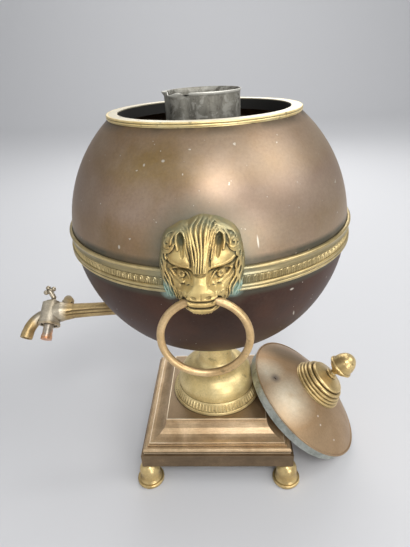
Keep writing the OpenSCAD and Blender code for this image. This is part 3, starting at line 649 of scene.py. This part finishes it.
# The mask's outline: across and up, all the way round
MANE = [(-30.3, 283), (-30.8, 290), (-29.8, 297), (-28.4, 302), (-27.2, 307.5), (-24, 312.5),
        (-19.5, 315.2), (-14, 318.2), (-9, 319), (-4.5, 321), (0.5, 322.3), (5.5, 321.6), (11, 320.6),
        (16.5, 318.2), (21.5, 315), (25.3, 310), (27, 304), (28.3, 297), (29, 290), (28.6, 283),
        (27.6, 276), (26.5, 269.5), (23.5, 265), (19.5, 264.6), (16, 266), (13.5, 264.5), (10.5, 260.8),
        (6, 258.6), (-1, 257.6), (-8, 258.6), (-12.5, 260.8), (-15.5, 264.5), (-18, 266.5),
        (-21.5, 263.4), (-26, 263.8), (-28.8, 268.5), (-29.3, 276)]
# The face under the hair: how far from the middle, how high, and how far out it stands
FACE = [(0, 320, 122), (0, 316, 126.5), (0, 310, 131.5), (0, 304, 136.5), (0, 298, 141.5),
        (0, 294, 144), (0, 290, 145.5), (0, 284, 147), (0, 278, 148.5), (0, 273.5, 147.5),
        (0, 268, 147.5), (0, 264, 147), (0, 261, 145), (0, 258.5, 141), (5.5, 316, 125.5),
        (5.5, 310, 130), (5.5, 304, 134), (5.5, 298, 138), (5.5, 293.5, 140.5), (5.5, 289, 139.5),
        (5.5, 285, 142.5), (5.5, 281, 147), (5.5, 277, 149.5), (5.5, 272, 147.5), (6, 266, 146.5),
        (6, 261, 144), (9, 315, 125.5), (9, 309, 129.5), (9, 303.5, 133), (9, 299, 137.5),
        (9, 294.5, 140), (9, 290.5, 136.5), (9, 286.5, 137.5), (9, 283, 141.5), (9, 279.5, 146),
        (9.5, 275, 146.5), (10, 270, 145.5), (10.5, 264.5, 142.5), (12, 261.5, 137), (14, 317, 122.5),
        (14, 311, 127.5), (14, 305, 130.5), (14, 300.5, 135.5), (14, 297, 137.5), (14, 294.2, 137.8),
        (14, 291, 134.2), (14, 287, 135.5), (14, 283.5, 137), (14, 280, 139.5), (14, 275.5, 141.5),
        (14, 270.5, 141), (15, 266, 136), (19, 312, 124.5), (19, 305, 128), (19, 300, 132.3),
        (19, 296.5, 134), (19, 293.8, 133.8), (19, 291, 131.2), (19, 287, 132.5), (19, 282.5, 133.5),
        (19, 277, 134), (18.5, 271, 133), (20, 265, 127.5), (23.5, 309, 123.5), (23.5, 302, 127),
        (23.5, 296, 129), (23.5, 290, 129.5), (23.5, 284, 130), (23, 277, 129.5), (22.5, 270, 128),
        (24, 265, 126.5), (27.5, 300, 124.5), (28, 292, 125.5), (28, 284, 126), (27, 276, 126.5),
        (26.5, 269, 126)]
# Guides of the hair, across and up. Strands are combed from one guide of a pair to the other
EAR_L = [(-16.2, 303.5), (-17.2, 307.5), (-16.8, 312), (-14.3, 314.8), (-11.8, 313.2), (-10.8, 309),
         (-10, 304), (-8, 299)]
ARCH_L = [(-25.5, 309.5), (-22.5, 313), (-17.5, 316), (-12.5, 317.8), (-8.6, 315.6), (-7, 310),
          (-6, 304), (-4.6, 297.5)]
LOCK_L = [(-3.5, 321), (-6.6, 318), (-7, 314.5), (-5.2, 309.5), (-3.6, 304.5), (-3.2, 300),
          (-3.4, 296.5), (-3.6, 293.5)]
LOCK_R = [(5.5, 321.2), (4.2, 318.5), (3, 314.5), (2.6, 310), (2.4, 305), (2, 300.5), (1.6, 296.5),
          (1.2, 293.5)]
ARCH_R = [(23.8, 309.5), (20.8, 313.5), (15.8, 317), (10.4, 318), (7, 314.5), (5.2, 309), (4, 303),
          (2.8, 297.5)]
EAR_R = [(14.6, 303.5), (15.4, 307.5), (15, 312), (12.4, 314.6), (9.8, 312.6), (8.8, 308.5), (7.6, 304),
         (6, 299)]
SIDE_L = [(-29.6, 299), (-30.2, 292), (-29.9, 285), (-29.2, 278), (-28.4, 271), (-25.5, 264.4)]
FACE_L = [(-25.2, 299), (-25.4, 293), (-25, 286), (-22.8, 280.5), (-20, 275), (-18.8, 267.2)]
SIDE_R = [(27.8, 299), (28.4, 292), (28.1, 285), (27.6, 278), (26.6, 271), (23.6, 265.4)]
FACE_R = [(23.2, 299), (23.4, 293), (23, 286), (20.8, 280.5), (18, 275), (16.8, 267.2)]
# One single lock
CROWN = [(9.5, 320.6), (6.8, 318.6), (5, 315), (4.2, 310.5), (3.6, 305.5), (3, 301), (2.4, 297)]
# Pairs that grow on both sides alike: distance from the middle, and up
BROW_TOP = [(27.5, 304.6), (23.5, 303.4), (20, 304), (17, 306.4)]
BROW_LOW = [(28, 300), (24.8, 299.8), (21.6, 301), (18.6, 303.6)]
OUTER_TOP = [(25, 311.5), (20, 314), (15, 317.2), (10, 319.4)]
OUTER_LOW = [(22, 312.5), (18, 314.2), (14, 316.4), (9, 317.8)]
# Middles of the two curls
CURLS = ((-23.4, 306.4), (21.4, 306.2))


def carved(obj, cutter):
    """Cuts one closed form out of another."""
    mod = obj.modifiers.new("carve", "BOOLEAN")
    mod.operation = "DIFFERENCE"
    mod.solver = "EXACT"
    mod.object = cutter
    apply_all(obj)
    bpy.data.objects.remove(cutter)
    return obj


def evenly(points, count):
    """The same line with its points set at even steps."""
    pts = np.array(points, float)
    far = np.concatenate([[0], np.cumsum(np.linalg.norm(np.diff(pts, axis=0), axis=1))])
    steps = np.linspace(0, far[-1], count)
    return np.stack([np.interp(steps, far, pts[:, k]) for k in range(pts.shape[1])], axis=1)


def comb(a, b, count, wave=0.0):
    """Strands laid side by side from guide a to guide b."""
    a, b = evenly(a, 15), evenly(b, 15)
    out = []
    for i in range(count):
        t = i / (count - 1)
        line = a * (1 - t) + b * t
        line[:, 0] += wave * np.sin(np.arange(15) * 1.15 + 2.1 * i)
        out.append(line)
    return out


def bend(far2):
    """How a thin sheet bends away from a point, by the square of the distance."""
    return 0.5 * far2 * np.log(far2 + 1e-9)


class Relief:
    """A face worked up from a plane of places: across, up, and how far out each one stands."""

    def __init__(self, x, z):
        """Starts from the plain face over all the places x, z."""
        self.x, self.z = x, z
        self.side = np.abs(x - MASK_X)
        self.out = self.pulled(FACE)

    def pulled(self, points):
        """A smooth skin pulled over the points, alike on both sides of the face."""
        half = np.array(points, float)
        twin = half[half[:, 0] > 0] * (-1, 1, 1)
        p = np.concatenate([half, twin])
        n = len(p)
        m = np.zeros((n + 3, n + 3))
        m[:n, :n] = bend((p[:, None, 0] - p[None, :, 0]) ** 2 + (p[:, None, 1] - p[None, :, 1]) ** 2)
        m[:n, :n] += np.eye(n) * 2.0
        m[:n, n:] = np.stack([np.ones(n), p[:, 0], p[:, 1] - MASK_Z], axis=1)
        m[n:, :n] = m[:n, n:].T
        w = np.linalg.solve(m, np.concatenate([p[:, 2], np.zeros(3)]))
        x = self.x - MASK_X
        out = w[n] + w[n + 1] * x + w[n + 2] * (self.z - MASK_Z)
        for k in range(n):
            out += w[k] * bend((x - p[k, 0]) ** 2 + (self.z - p[k, 1]) ** 2)
        return out

    def worked_in(self, more, soft):
        """Lays a form over the face and smooths the join."""
        h = np.clip(0.5 + 0.5 * (more - self.out) / soft, 0, 1)
        self.out = self.out + (more - self.out) * h + soft * h * (1 - h)

    def over(self, line, width, mirror):
        """1 on a line, 0 at its half width from it; the width may change along it."""
        x = self.side if mirror else self.x
        line = np.array(line, float)
        given = np.atleast_1d(width)
        widths = np.interp(np.linspace(0, 1, len(line)), np.linspace(0, 1, len(given)), given)
        best = np.zeros_like(x)
        for (a, b), wa, wb in zip(zip(line[:-1, :2], line[1:, :2]), widths[:-1], widths[1:]):
            d = b - a
            t = np.clip(((x - a[0]) * d[0] + (self.z - a[1]) * d[1]) / (d @ d + 1e-9), 0, 1)
            far2 = (x - a[0] - t * d[0]) ** 2 + (self.z - a[1] - t * d[1]) ** 2
            best = np.maximum(best, 1 - far2 / (wa + (wb - wa) * t) ** 2)
        return best

    def raise_rolls(self, lines, width, height, mirror=False):
        """Round rolls along lines, laid over each other."""
        most = np.zeros_like(self.x)
        for line in lines:
            most = np.maximum(most, self.over(line, width, mirror))
        self.out += height * np.sqrt(most)

    def groove(self, line, width, depth):
        """A groove on both sides of the face."""
        self.out -= depth * self.over(line, width, True) ** 1.5

    def dent(self, x, z, a, b, depth, turn=0.0):
        """An oval hollow on both sides of the face, or a bump where the depth is negative."""
        c, s = math.cos(math.radians(turn)), math.sin(math.radians(turn))
        dx, dz = self.side - x, self.z - z
        u, v = (c * dx + s * dz) / a, (c * dz - s * dx) / b
        self.out -= depth * np.sqrt(np.clip(1 - u * u - v * v, 0, 1))


def beside(side, line):
    """A lock given by its distance from the middle, on the left or the right side."""
    return [(-1 - x, z) if side == "left" else (x, z) for x, z in line]


def face_of(x, z):
    """The lion's face: brows, eyes, nose, muzzle, jaw, ears and mane."""
    r = Relief(x, z)
    top = np.interp(z, [273, 275, 276.4, 278.4, 280.8, 284, 288, 291, 294, 300],
                    [149, 151.5, 153.2, 155.0, 155.8, 152.2, 148.0, 145.0, 140, 115])
    wide = np.interp(z, [275, 277.5, 280, 282.5, 286, 291], [7.4, 7.8, 6.6, 4.6, 4.0, 4.2])
    r.worked_in(top - 1.6 * (r.side / wide) ** 2 - 7 * np.clip(r.side / wide - 0.9, 0, 9) ** 1.4
                - 8 * np.clip((275.6 - z) / 3, 0, 4) ** 2, 1.4)
    drop = np.interp(z, [288, 290.4, 292.2, 296, 301, 308, 316, 322],
                     [138, 144.4, 147.0, 145.0, 141.6, 135.6, 128, 121])
    wide = np.interp(z, [290, 293, 298, 304, 312], [4.4, 4.2, 4.4, 5.4, 7.5])
    r.worked_in(drop - 1.0 * (r.side / wide) ** 2 - 8 * np.clip(r.side / wide - 0.9, 0, 9) ** 1.4, 0.8)
    # the jaws hold the ring: solid in front of its wire
    wide = np.interp(z, [258, 262, 266, 270, 274], [2.5, 4.5, 6.5, 8.4, 8.8])
    jaw = np.interp(z, [258, 262, 266, 270, 274, 277, 280, 286],
                    [138, 145, 149.5, 151.0, 151.6, 151.4, 140, 60])
    r.worked_in(jaw - 0.012 * r.side ** 2 - 5 * np.clip((r.side - wide) / 3, 0, 9) ** 1.5, 0.8)
    # brows and eyes
    r.groove([(5.6, 290.4), (10, 290.7), (16, 291.2), (21, 292.7), (24.4, 295.6)],
             [1.1, 1.7, 1.8, 1.5, 0.9], 2.6)
    r.raise_rolls([[(5.4, 292.9), (10, 293.2), (16, 293.7), (21, 295.1), (24.2, 297.6)]],
                  [0.9, 1.5, 1.5, 1.2, 0.8], 1.0, True)
    r.dent(13.2, 286.9, 7.4, 4.0, 2.4, 14)
    r.dent(13.6, 287.1, 3.3, 2.9, -3.2, 14)
    r.raise_rolls([[(20.8, 289.4), (17.6, 290.5), (13.2, 290.0), (9.4, 287.8), (6.4, 284.5)],
                   [(20.8, 289.4), (18.2, 285.8), (13.9, 283.7), (10, 283.1), (6.4, 284.5)]],
                  1.0, 2.0, True)
    r.groove([(22.4, 287.8), (18.8, 283.0), (13.5, 280.9), (8.6, 281.0)], 1.0, 1.2)
    r.dent(13.4, 287.0, 1.1, 1.1, 1.4)
    r.groove([(7.4, 305), (6.0, 299), (5.8, 294.4), (5.4, 291.2)], [0.6, 1.1, 1.3, 1.1], 1.6)
    r.groove([(5.0, 290.2), (0, 289.8)], 0.8, 0.9)
    # nose, muzzle and mouth
    r.dent(5.0, 277.2, 2.0, 1.1, 2.2, 20)
    r.groove([(0, 279.6), (0, 275)], 0.8, 1.0)
    r.groove([(5.6, 286), (7.6, 283), (9.6, 280.4), (9.6, 277.6)], 1.0, 1.1)
    r.groove([(10.4, 283), (13.4, 279.6), (14.6, 275.5), (14.4, 271)], 1.3, 1.5)
    for px, pz in ((11.0, 281.4), (12.4, 279.4), (11.2, 278.8), (12.8, 277.2), (11.4, 276.6)):
        r.dent(px, pz, 0.6, 0.6, 0.7)
    r.groove([(9.8, 275.6), (6, 273.9), (0, 273.4)], [0.8, 1.2, 1.2], 2.0)
    r.raise_rolls([[(13.2, 274.8), (10.2, 276.6), (6, 275.6), (0, 275.2)]], 0.9, 1.3, True)
    r.raise_rolls([[(8.8, 273.0), (7.2, 271.4), (4, 270.9), (0, 270.8)]], 1.2, 1.0, True)
    r.groove([(11.4, 274.2), (9.8, 269.8), (5, 268.5), (0, 268.4)], 0.9, 1.6)
    r.raise_rolls([[(14.8, 277.2), (13.4, 271), (8.8, 267.4), (0, 266.2)],
                   [(18.6, 276), (16.6, 268.8), (11, 264.6), (0, 263.3)]], 1.5, 1.7, True)
    r.raise_rolls([[(x, 262.0), (x, 259.4)] for x in range(-7, 7, 2)], 0.9, 1.0)
    # ears and mane
    r.dent(12.6, 308.6, 2.6, 4.4, 5.0)
    r.dent(12.4, 303.6, 1.5, 5.0, 3.0, -10)
    strands = comb(EAR_L, ARCH_L, 3) + comb(LOCK_L, LOCK_R, 4) + comb(ARCH_R, EAR_R, 3) + [CROWN]
    strands += comb(SIDE_L, FACE_L, 4, 0.7) + comb(SIDE_R, FACE_R, 4, 0.7)
    for side in ("left", "right"):
        strands += comb(beside(side, BROW_TOP), beside(side, BROW_LOW), 3)
        strands += comb(beside(side, OUTER_TOP), beside(side, OUTER_LOW), 2)
    r.raise_rolls(strands, [1.0, 1.15, 1.1, 1.0, 0.8], 2.3)
    for cx, cz in CURLS:
        r.out += 1.6 * np.clip(1.5 - np.hypot(x - cx, z - cz) / 4.2, 0, 1)
        coil = [(3.3 - a / 190, math.radians(a)) for a in range(0, 500, 20)]
        coil = [(far * math.cos(a) + cx, far * math.sin(a) + cz) for far, a in coil]
        r.raise_rolls([coil], [1.3, 1.2, 0.9], 2.0)
    # the nose tip is drawn back to where the casting may reach
    knee = np.interp(z, [275.2, 277.5], [151.5, 150.0])
    slope = np.interp(z, [275.2, 277.5], [0.6, 0.42])
    return np.where(r.out > knee, knee + (r.out - knee) * slope, r.out)


def ring_way():
    """The room that the ring's wire swings in, from hanging down to standing out."""
    # the wire's play, how far the cut reaches to each side, and its points round and along
    room, reach, turns, stations = 0.16, 22.0, 48, 17
    # the swing's ends in degrees, with 5 to spare
    low, high = -20, 100
    points, faces = [], []
    for i in range(stations):
        x = reach * (2 * i / (stations - 1) - 1)
        level = math.sqrt(RING_R ** 2 - x * x)
        sink, wire = RING_R - level, (WIRE_R + room) * RING_R / level
        for k in range(turns):
            way = math.radians((low + high) / 2 + 360 * (k / turns - 0.5))
            held = min(max(way, math.radians(low)), math.radians(high))
            points.append((x, -HINGE_Y - sink * math.sin(held) - wire * math.sin(way),
                           HINGE_Z - sink * math.cos(held) - wire * math.cos(way)))
    for i in range(stations - 1):
        for k in range(turns):
            a, b = i * turns + k, i * turns + (k + 1) % turns
            faces.append((a, b, b + turns, a + turns))
    faces += [tuple(range(turns))[::-1], tuple(range((stations - 1) * turns, stations * turns))]
    mesh = bpy.data.meshes.new("way")
    mesh.from_pydata(points, [], faces)
    obj = bpy.data.objects.new("way", mesh)
    bpy.context.collection.objects.link(obj)
    pick(obj)
    bpy.ops.object.mode_set(mode="EDIT")
    bpy.ops.mesh.select_all(action="SELECT")
    bpy.ops.mesh.normals_make_consistent(inside=False)
    bpy.ops.object.mode_set(mode="OBJECT")
    return obj


def smooth_loop(points):
    """A closed line through the points, curved between them."""
    fine = []
    for i in range(len(points)):
        p0, p1, p2, p3 = (np.array(points[(i + k) % len(points)], float) for k in (-1, 0, 1, 2))
        for t in np.arange(0, 1, 0.125):
            fine.append(0.5 * (2 * p1 + (p2 - p0) * t + (2 * p0 - 5 * p1 + 4 * p2 - p3) * t * t
                               + (3 * p1 - p0 - 3 * p2 + p3) * t ** 3))
    return np.array(fine)


def lion_mask():
    """The mask: a ball worked into the face in front and the globe's curve behind."""
    pick_none()
    # of the ball's rings, those up to front make the face and the rest the back
    rings, front = 132, 110
    bpy.ops.mesh.primitive_uv_sphere_add(segments=360, ring_count=rings, radius=1)
    mask = bpy.context.object
    count = len(mask.data.vertices)
    co = np.empty(count * 3)
    mask.data.vertices.foreach_get("co", co)
    co = co.reshape(-1, 3)
    step = np.arccos(np.clip(co[:, 2], -1, 1)) / math.pi * rings
    share = np.where(step <= front, step / front, (rings - step) / (rings - front))
    way = np.arctan2(co[:, 1], co[:, 0])
    edge = smooth_loop(MANE) - (MASK_X, MASK_Z)
    turn = np.arctan2(edge[:, 1], edge[:, 0])
    order = np.argsort(turn)
    reach = np.interp(way, turn[order], np.hypot(edge[:, 0], edge[:, 1])[order], period=2 * math.pi)
    x = MASK_X + share * reach * np.cos(way)
    z = MASK_Z + share * reach * np.sin(way)
    skin = np.sqrt(SEAT_R ** 2 - x * x - (z - GLOBE_Z) ** 2)
    rounding, thinnest = 3.0, 1.2
    from_edge = np.clip((1 - share) * reach / rounding, 0, 1)
    face = np.maximum(face_of(x, z) - skin, thinnest) * np.sqrt(1 - (1 - from_edge) ** 2)
    out = np.where(step <= front, skin + face, skin)
    mask.data.vertices.foreach_set("co", np.stack([x, -out, z], axis=1).ravel())
    mask.data.update()
    mask = carved(mask, ring_way())
    stud_r, studs = 123, []
    for a in STUDS:
        up, off = math.sin(math.radians(a)), math.cos(math.radians(a))
        bpy.ops.mesh.primitive_cylinder_add(vertices=32, radius=2, depth=12,
                                            location=(0, -stud_r * off, GLOBE_Z + stud_r * up),
                                            rotation=(math.radians(90 - a), 0, 0))
        studs.append(bpy.context.object)
    return joined("mask", [mask] + studs)


def make_masks():
    """The front mask, and its twin turned half round for the back."""
    mask = lion_mask()
    pick(mask)
    bpy.ops.object.duplicate(linked=False)
    twin = bpy.context.object
    twin.rotation_euler = (0, 0, math.pi)
    finished(mask, "lion_mask_cast_front", "urn", BRASS_CAST, "brass", "lion_mask_front", angle=60)
    finished(twin, "lion_mask_cast_back", "urn", BRASS_CAST, "brass", "lion_mask_back", angle=60)


# ---- Belt ----

def make_belt():
    """The belt: a top bead, a plain hollow band, a thin groove, the stamped arches and two lower beads."""
    bead = 1.36
    r = GLOBE_R + BELT_OUT - bead
    outline = [(SEAT_R, BELT_H / 2)] + bead_line(r, 8.14, bead, 90, -50)
    outline += [(127.75, 6.9), (127.35, 5.9), (127.15, 4.9), (127.25, 3.9), (127.65, 3.1), (127.65, 2.8)]
    outline += [(126.75, 2.6), (126.75, 2.1), (126.95, 1.9), (126.85, -4.0)]
    outline += bead_line(r, -5.43, bead, 100, -75) + bead_line(r, -8.14, bead, 75, -90)
    outline += [(SEAT_R, -BELT_H / 2)]
    band = turned(outline, 240)
    half, foot = 1.75, -3.9
    ways = [math.radians(a) for a in range(0, 181, 45)]
    arch = [(half, foot)] + [(half * math.cos(a), 0.1 + 1.6 * math.sin(a)) for a in ways] + [(-half, foot)]
    rows = [rib([(126.95, y, z) for y, z in arch], 0.42)]
    rows.append(rib([(126.9, 0, foot), (127.1, 0, -2.2), (127.1, 0, -0.2), (126.9, 0, 0.6)],
                    [0.5, 0.75, 0.6, 0.15]))
    rows.append(rib([(126.9, 2.62, 1.8), (127.0, 2.62, -0.4), (126.8, 2.62, foot)], [0.4, 0.3, 0.2]))
    stamps = round_about(ribs(rows), 152)
    belt = joined("belt", [band, stamps])
    belt.location = (0, 0, GLOBE_Z)
    finished(belt, "belt_stamped", "urn", BRASS_BELT, "brass", "equator_belt", angle=35)


def make_border():
    """The leaf border: a flange, a bead, and eighty tongues standing round the cone."""
    inner = BELL_R + 0.1
    outline = [(inner, 0), (BORDER_R - 0.05, 0), (BORDER_R, 0.4), (BORDER_R, 1.3)]
    outline += bead_line(48.5, 1.94, 1.03, -20, 110)
    outline += [(47.85, 2.9), (44.48, 10.26), (43.6, BORDER_H), (inner, BORDER_H)]
    ring = turned(outline, 160)
    tongue = rib([(44.6, 0, 10.3), (44.95, 0, 9.3), (46.25, 0, 6.6), (47.3, 0, 4.4), (47.9, 0, 3.0)],
                 [0.3, 0.8, 1.0, 1.15, 0.35])
    vein = rib([(44.5, 1.75, 10.2), (46.6, 1.82, 5.6), (47.6, 1.88, 3.5)], [0.2, 0.35, 0.2])
    tongues = round_about(ribs([tongue, vein]), 80)
    border = joined("border", [ring, tongues])
    border.location = (0, 0, PLINTH_TOP)
    finished(border, "leaf_border_stamped", "urn", BRASS_LEAF_LIT, "brass", "leaf_border", angle=50)


def make_tube():
    """The heater tube: thin tinned sheet with a small rolled lip, bent out of shape in three places."""
    lip = [(0, -3.67), (0.2, -2.17), (0.7, -0.97), (0.75, -0.37), (0.45, -0.07), (0.1, -0.27),
           (-0.3, -1.27), (-0.75, -2.67), (-TUBE_WALL, -4.27)]
    outline = [(TUBE_R - TUBE_WALL, TUBE_FOOT), (TUBE_R, TUBE_FOOT)]
    outline += [(TUBE_R + r, TUBE_TOP + z) for r, z in lip]
    tube = turned(outline, 96)
    bends = (((-31.6, -2.5), (-3.4, -0.6, -0.1), 8.0), ((-25.0, -18.5), (-2.2, -1.8, -2.0), 9.0),
             ((-14.0, -28.2), (0.4, 1.4, -1.8), 6.0))
    # each bend: where on the lip, how far it is moved, and how wide the bend is
    for place, move, reach in bends:
        pick(tube)
        bpy.ops.object.mode_set(mode="EDIT")
        bpy.ops.mesh.select_mode(type="VERT")
        bpy.ops.mesh.select_all(action="DESELECT")
        bpy.ops.object.mode_set(mode="OBJECT")
        corner = Vector((*place, TUBE_TOP - 0.17))
        min(tube.data.vertices, key=lambda v: (v.co - corner).length).select = True
        bpy.ops.object.mode_set(mode="EDIT")
        bpy.ops.transform.translate(value=move, use_proportional_edit=True,
                                    proportional_edit_falloff="SMOOTH", proportional_size=reach)
        bpy.ops.object.mode_set(mode="OBJECT")
    finished(tube, "heater_tube_sheet", "urn", TIN, "tin", "heater_tube", angle=50)


make_masks()
make_belt()
make_border()
make_tube()


# ---- Camera, light and floor, all in metres ----

def make_camera():
    """The photo's camera: a phone's wide lens, close in front of the urn and looking down on it."""
    place = (0.01736, -0.38831, 0.41823)
    right = Vector((0.99815, 0.03697, -0.04830))
    up = Vector((0.02573, 0.46281, 0.88610))
    back = right.cross(up)
    bpy.ops.object.camera_add()
    cam = bpy.context.object
    cam.name = "camera"
    cam.matrix_world = Matrix.Translation(place) @ Matrix((right, up, back)).transposed().to_4x4()
    focal, photo_height, sensor = 427.04, 547, 36.0
    cam.data.sensor_width = sensor
    cam.data.lens = focal / photo_height * sensor
    cam.data.clip_start = 0.01
    bpy.context.scene.camera = cam


def make_floor():
    """A plain pale floor that curves up into a wall behind."""
    pick_none()
    near, far, half, curve, top, drop = -4.5, 2.5, 7.0, 1.2, 5.0, 0.0005
    ways = [math.radians(a) for a in range(0, 91, 6)]
    line = [(near, 0.0)] + [(far + curve * math.sin(a), curve - curve * math.cos(a)) for a in ways]
    line += [(far + curve, top)]
    mesh = bpy.data.meshes.new("floor")
    mesh.from_pydata([(x, y, z - drop) for y, z in line for x in (-half, half)], [],
                     [(2 * i, 2 * i + 1, 2 * i + 3, 2 * i + 2) for i in range(len(line) - 1)])
    floor = bpy.data.objects.new("floor", mesh)
    bpy.context.collection.objects.link(floor)
    pick(floor)
    bpy.ops.object.shade_smooth_by_angle(angle=math.radians(40))
    mat = bpy.data.materials.new("floor_paper")
    mat.use_nodes = True
    shader = mat.node_tree.nodes["Principled BSDF"]
    shader.inputs["Base Color"].default_value = (0.62, 0.62, 0.63, 1)
    shader.inputs["Roughness"].default_value = 0.9
    floor.data.materials.append(mat)


def make_lights():
    """A soft grey room, five soft lamps round the urn and one for the wall."""
    world = bpy.data.worlds.new("room")
    bpy.context.scene.world = world
    world.use_nodes = True
    sky = world.node_tree.nodes["Background"]
    sky.inputs["Color"].default_value = (0.55, 0.57, 0.60, 1)
    sky.inputs["Strength"].default_value = 0.5
    urn, wall = (0, 0, 0.22), (0, 3.7, 1.2)
    # each lamp: its place, size and power, and what it is aimed at
    lamps = (((0.22, -0.99, 1.27), 0.5, 9, urn), ((1.15, -0.3, 1.35), 1.1, 11, urn),
             ((-1.4, -0.9, 0.8), 1.8, 4, urn), ((0.1, 1.3, 1.1), 1.2, 8, urn),
             ((0.75, -1.35, 0.42), 0.8, 8, urn), ((0, 0.8, 2.6), 1.6, 55, wall))
    for place, size, power, aim in lamps:
        bpy.ops.object.light_add(type="AREA", location=place)
        lamp = bpy.context.object
        lamp.data.shape = "DISK"
        lamp.data.size = size
        lamp.data.energy = power
        lamp.rotation_euler = (Vector(aim) - Vector(place)).to_track_quat("-Z", "Y").to_euler()


make_camera()
make_floor()
make_lights()
bpy.context.scene.view_settings.view_transform = "Standard"
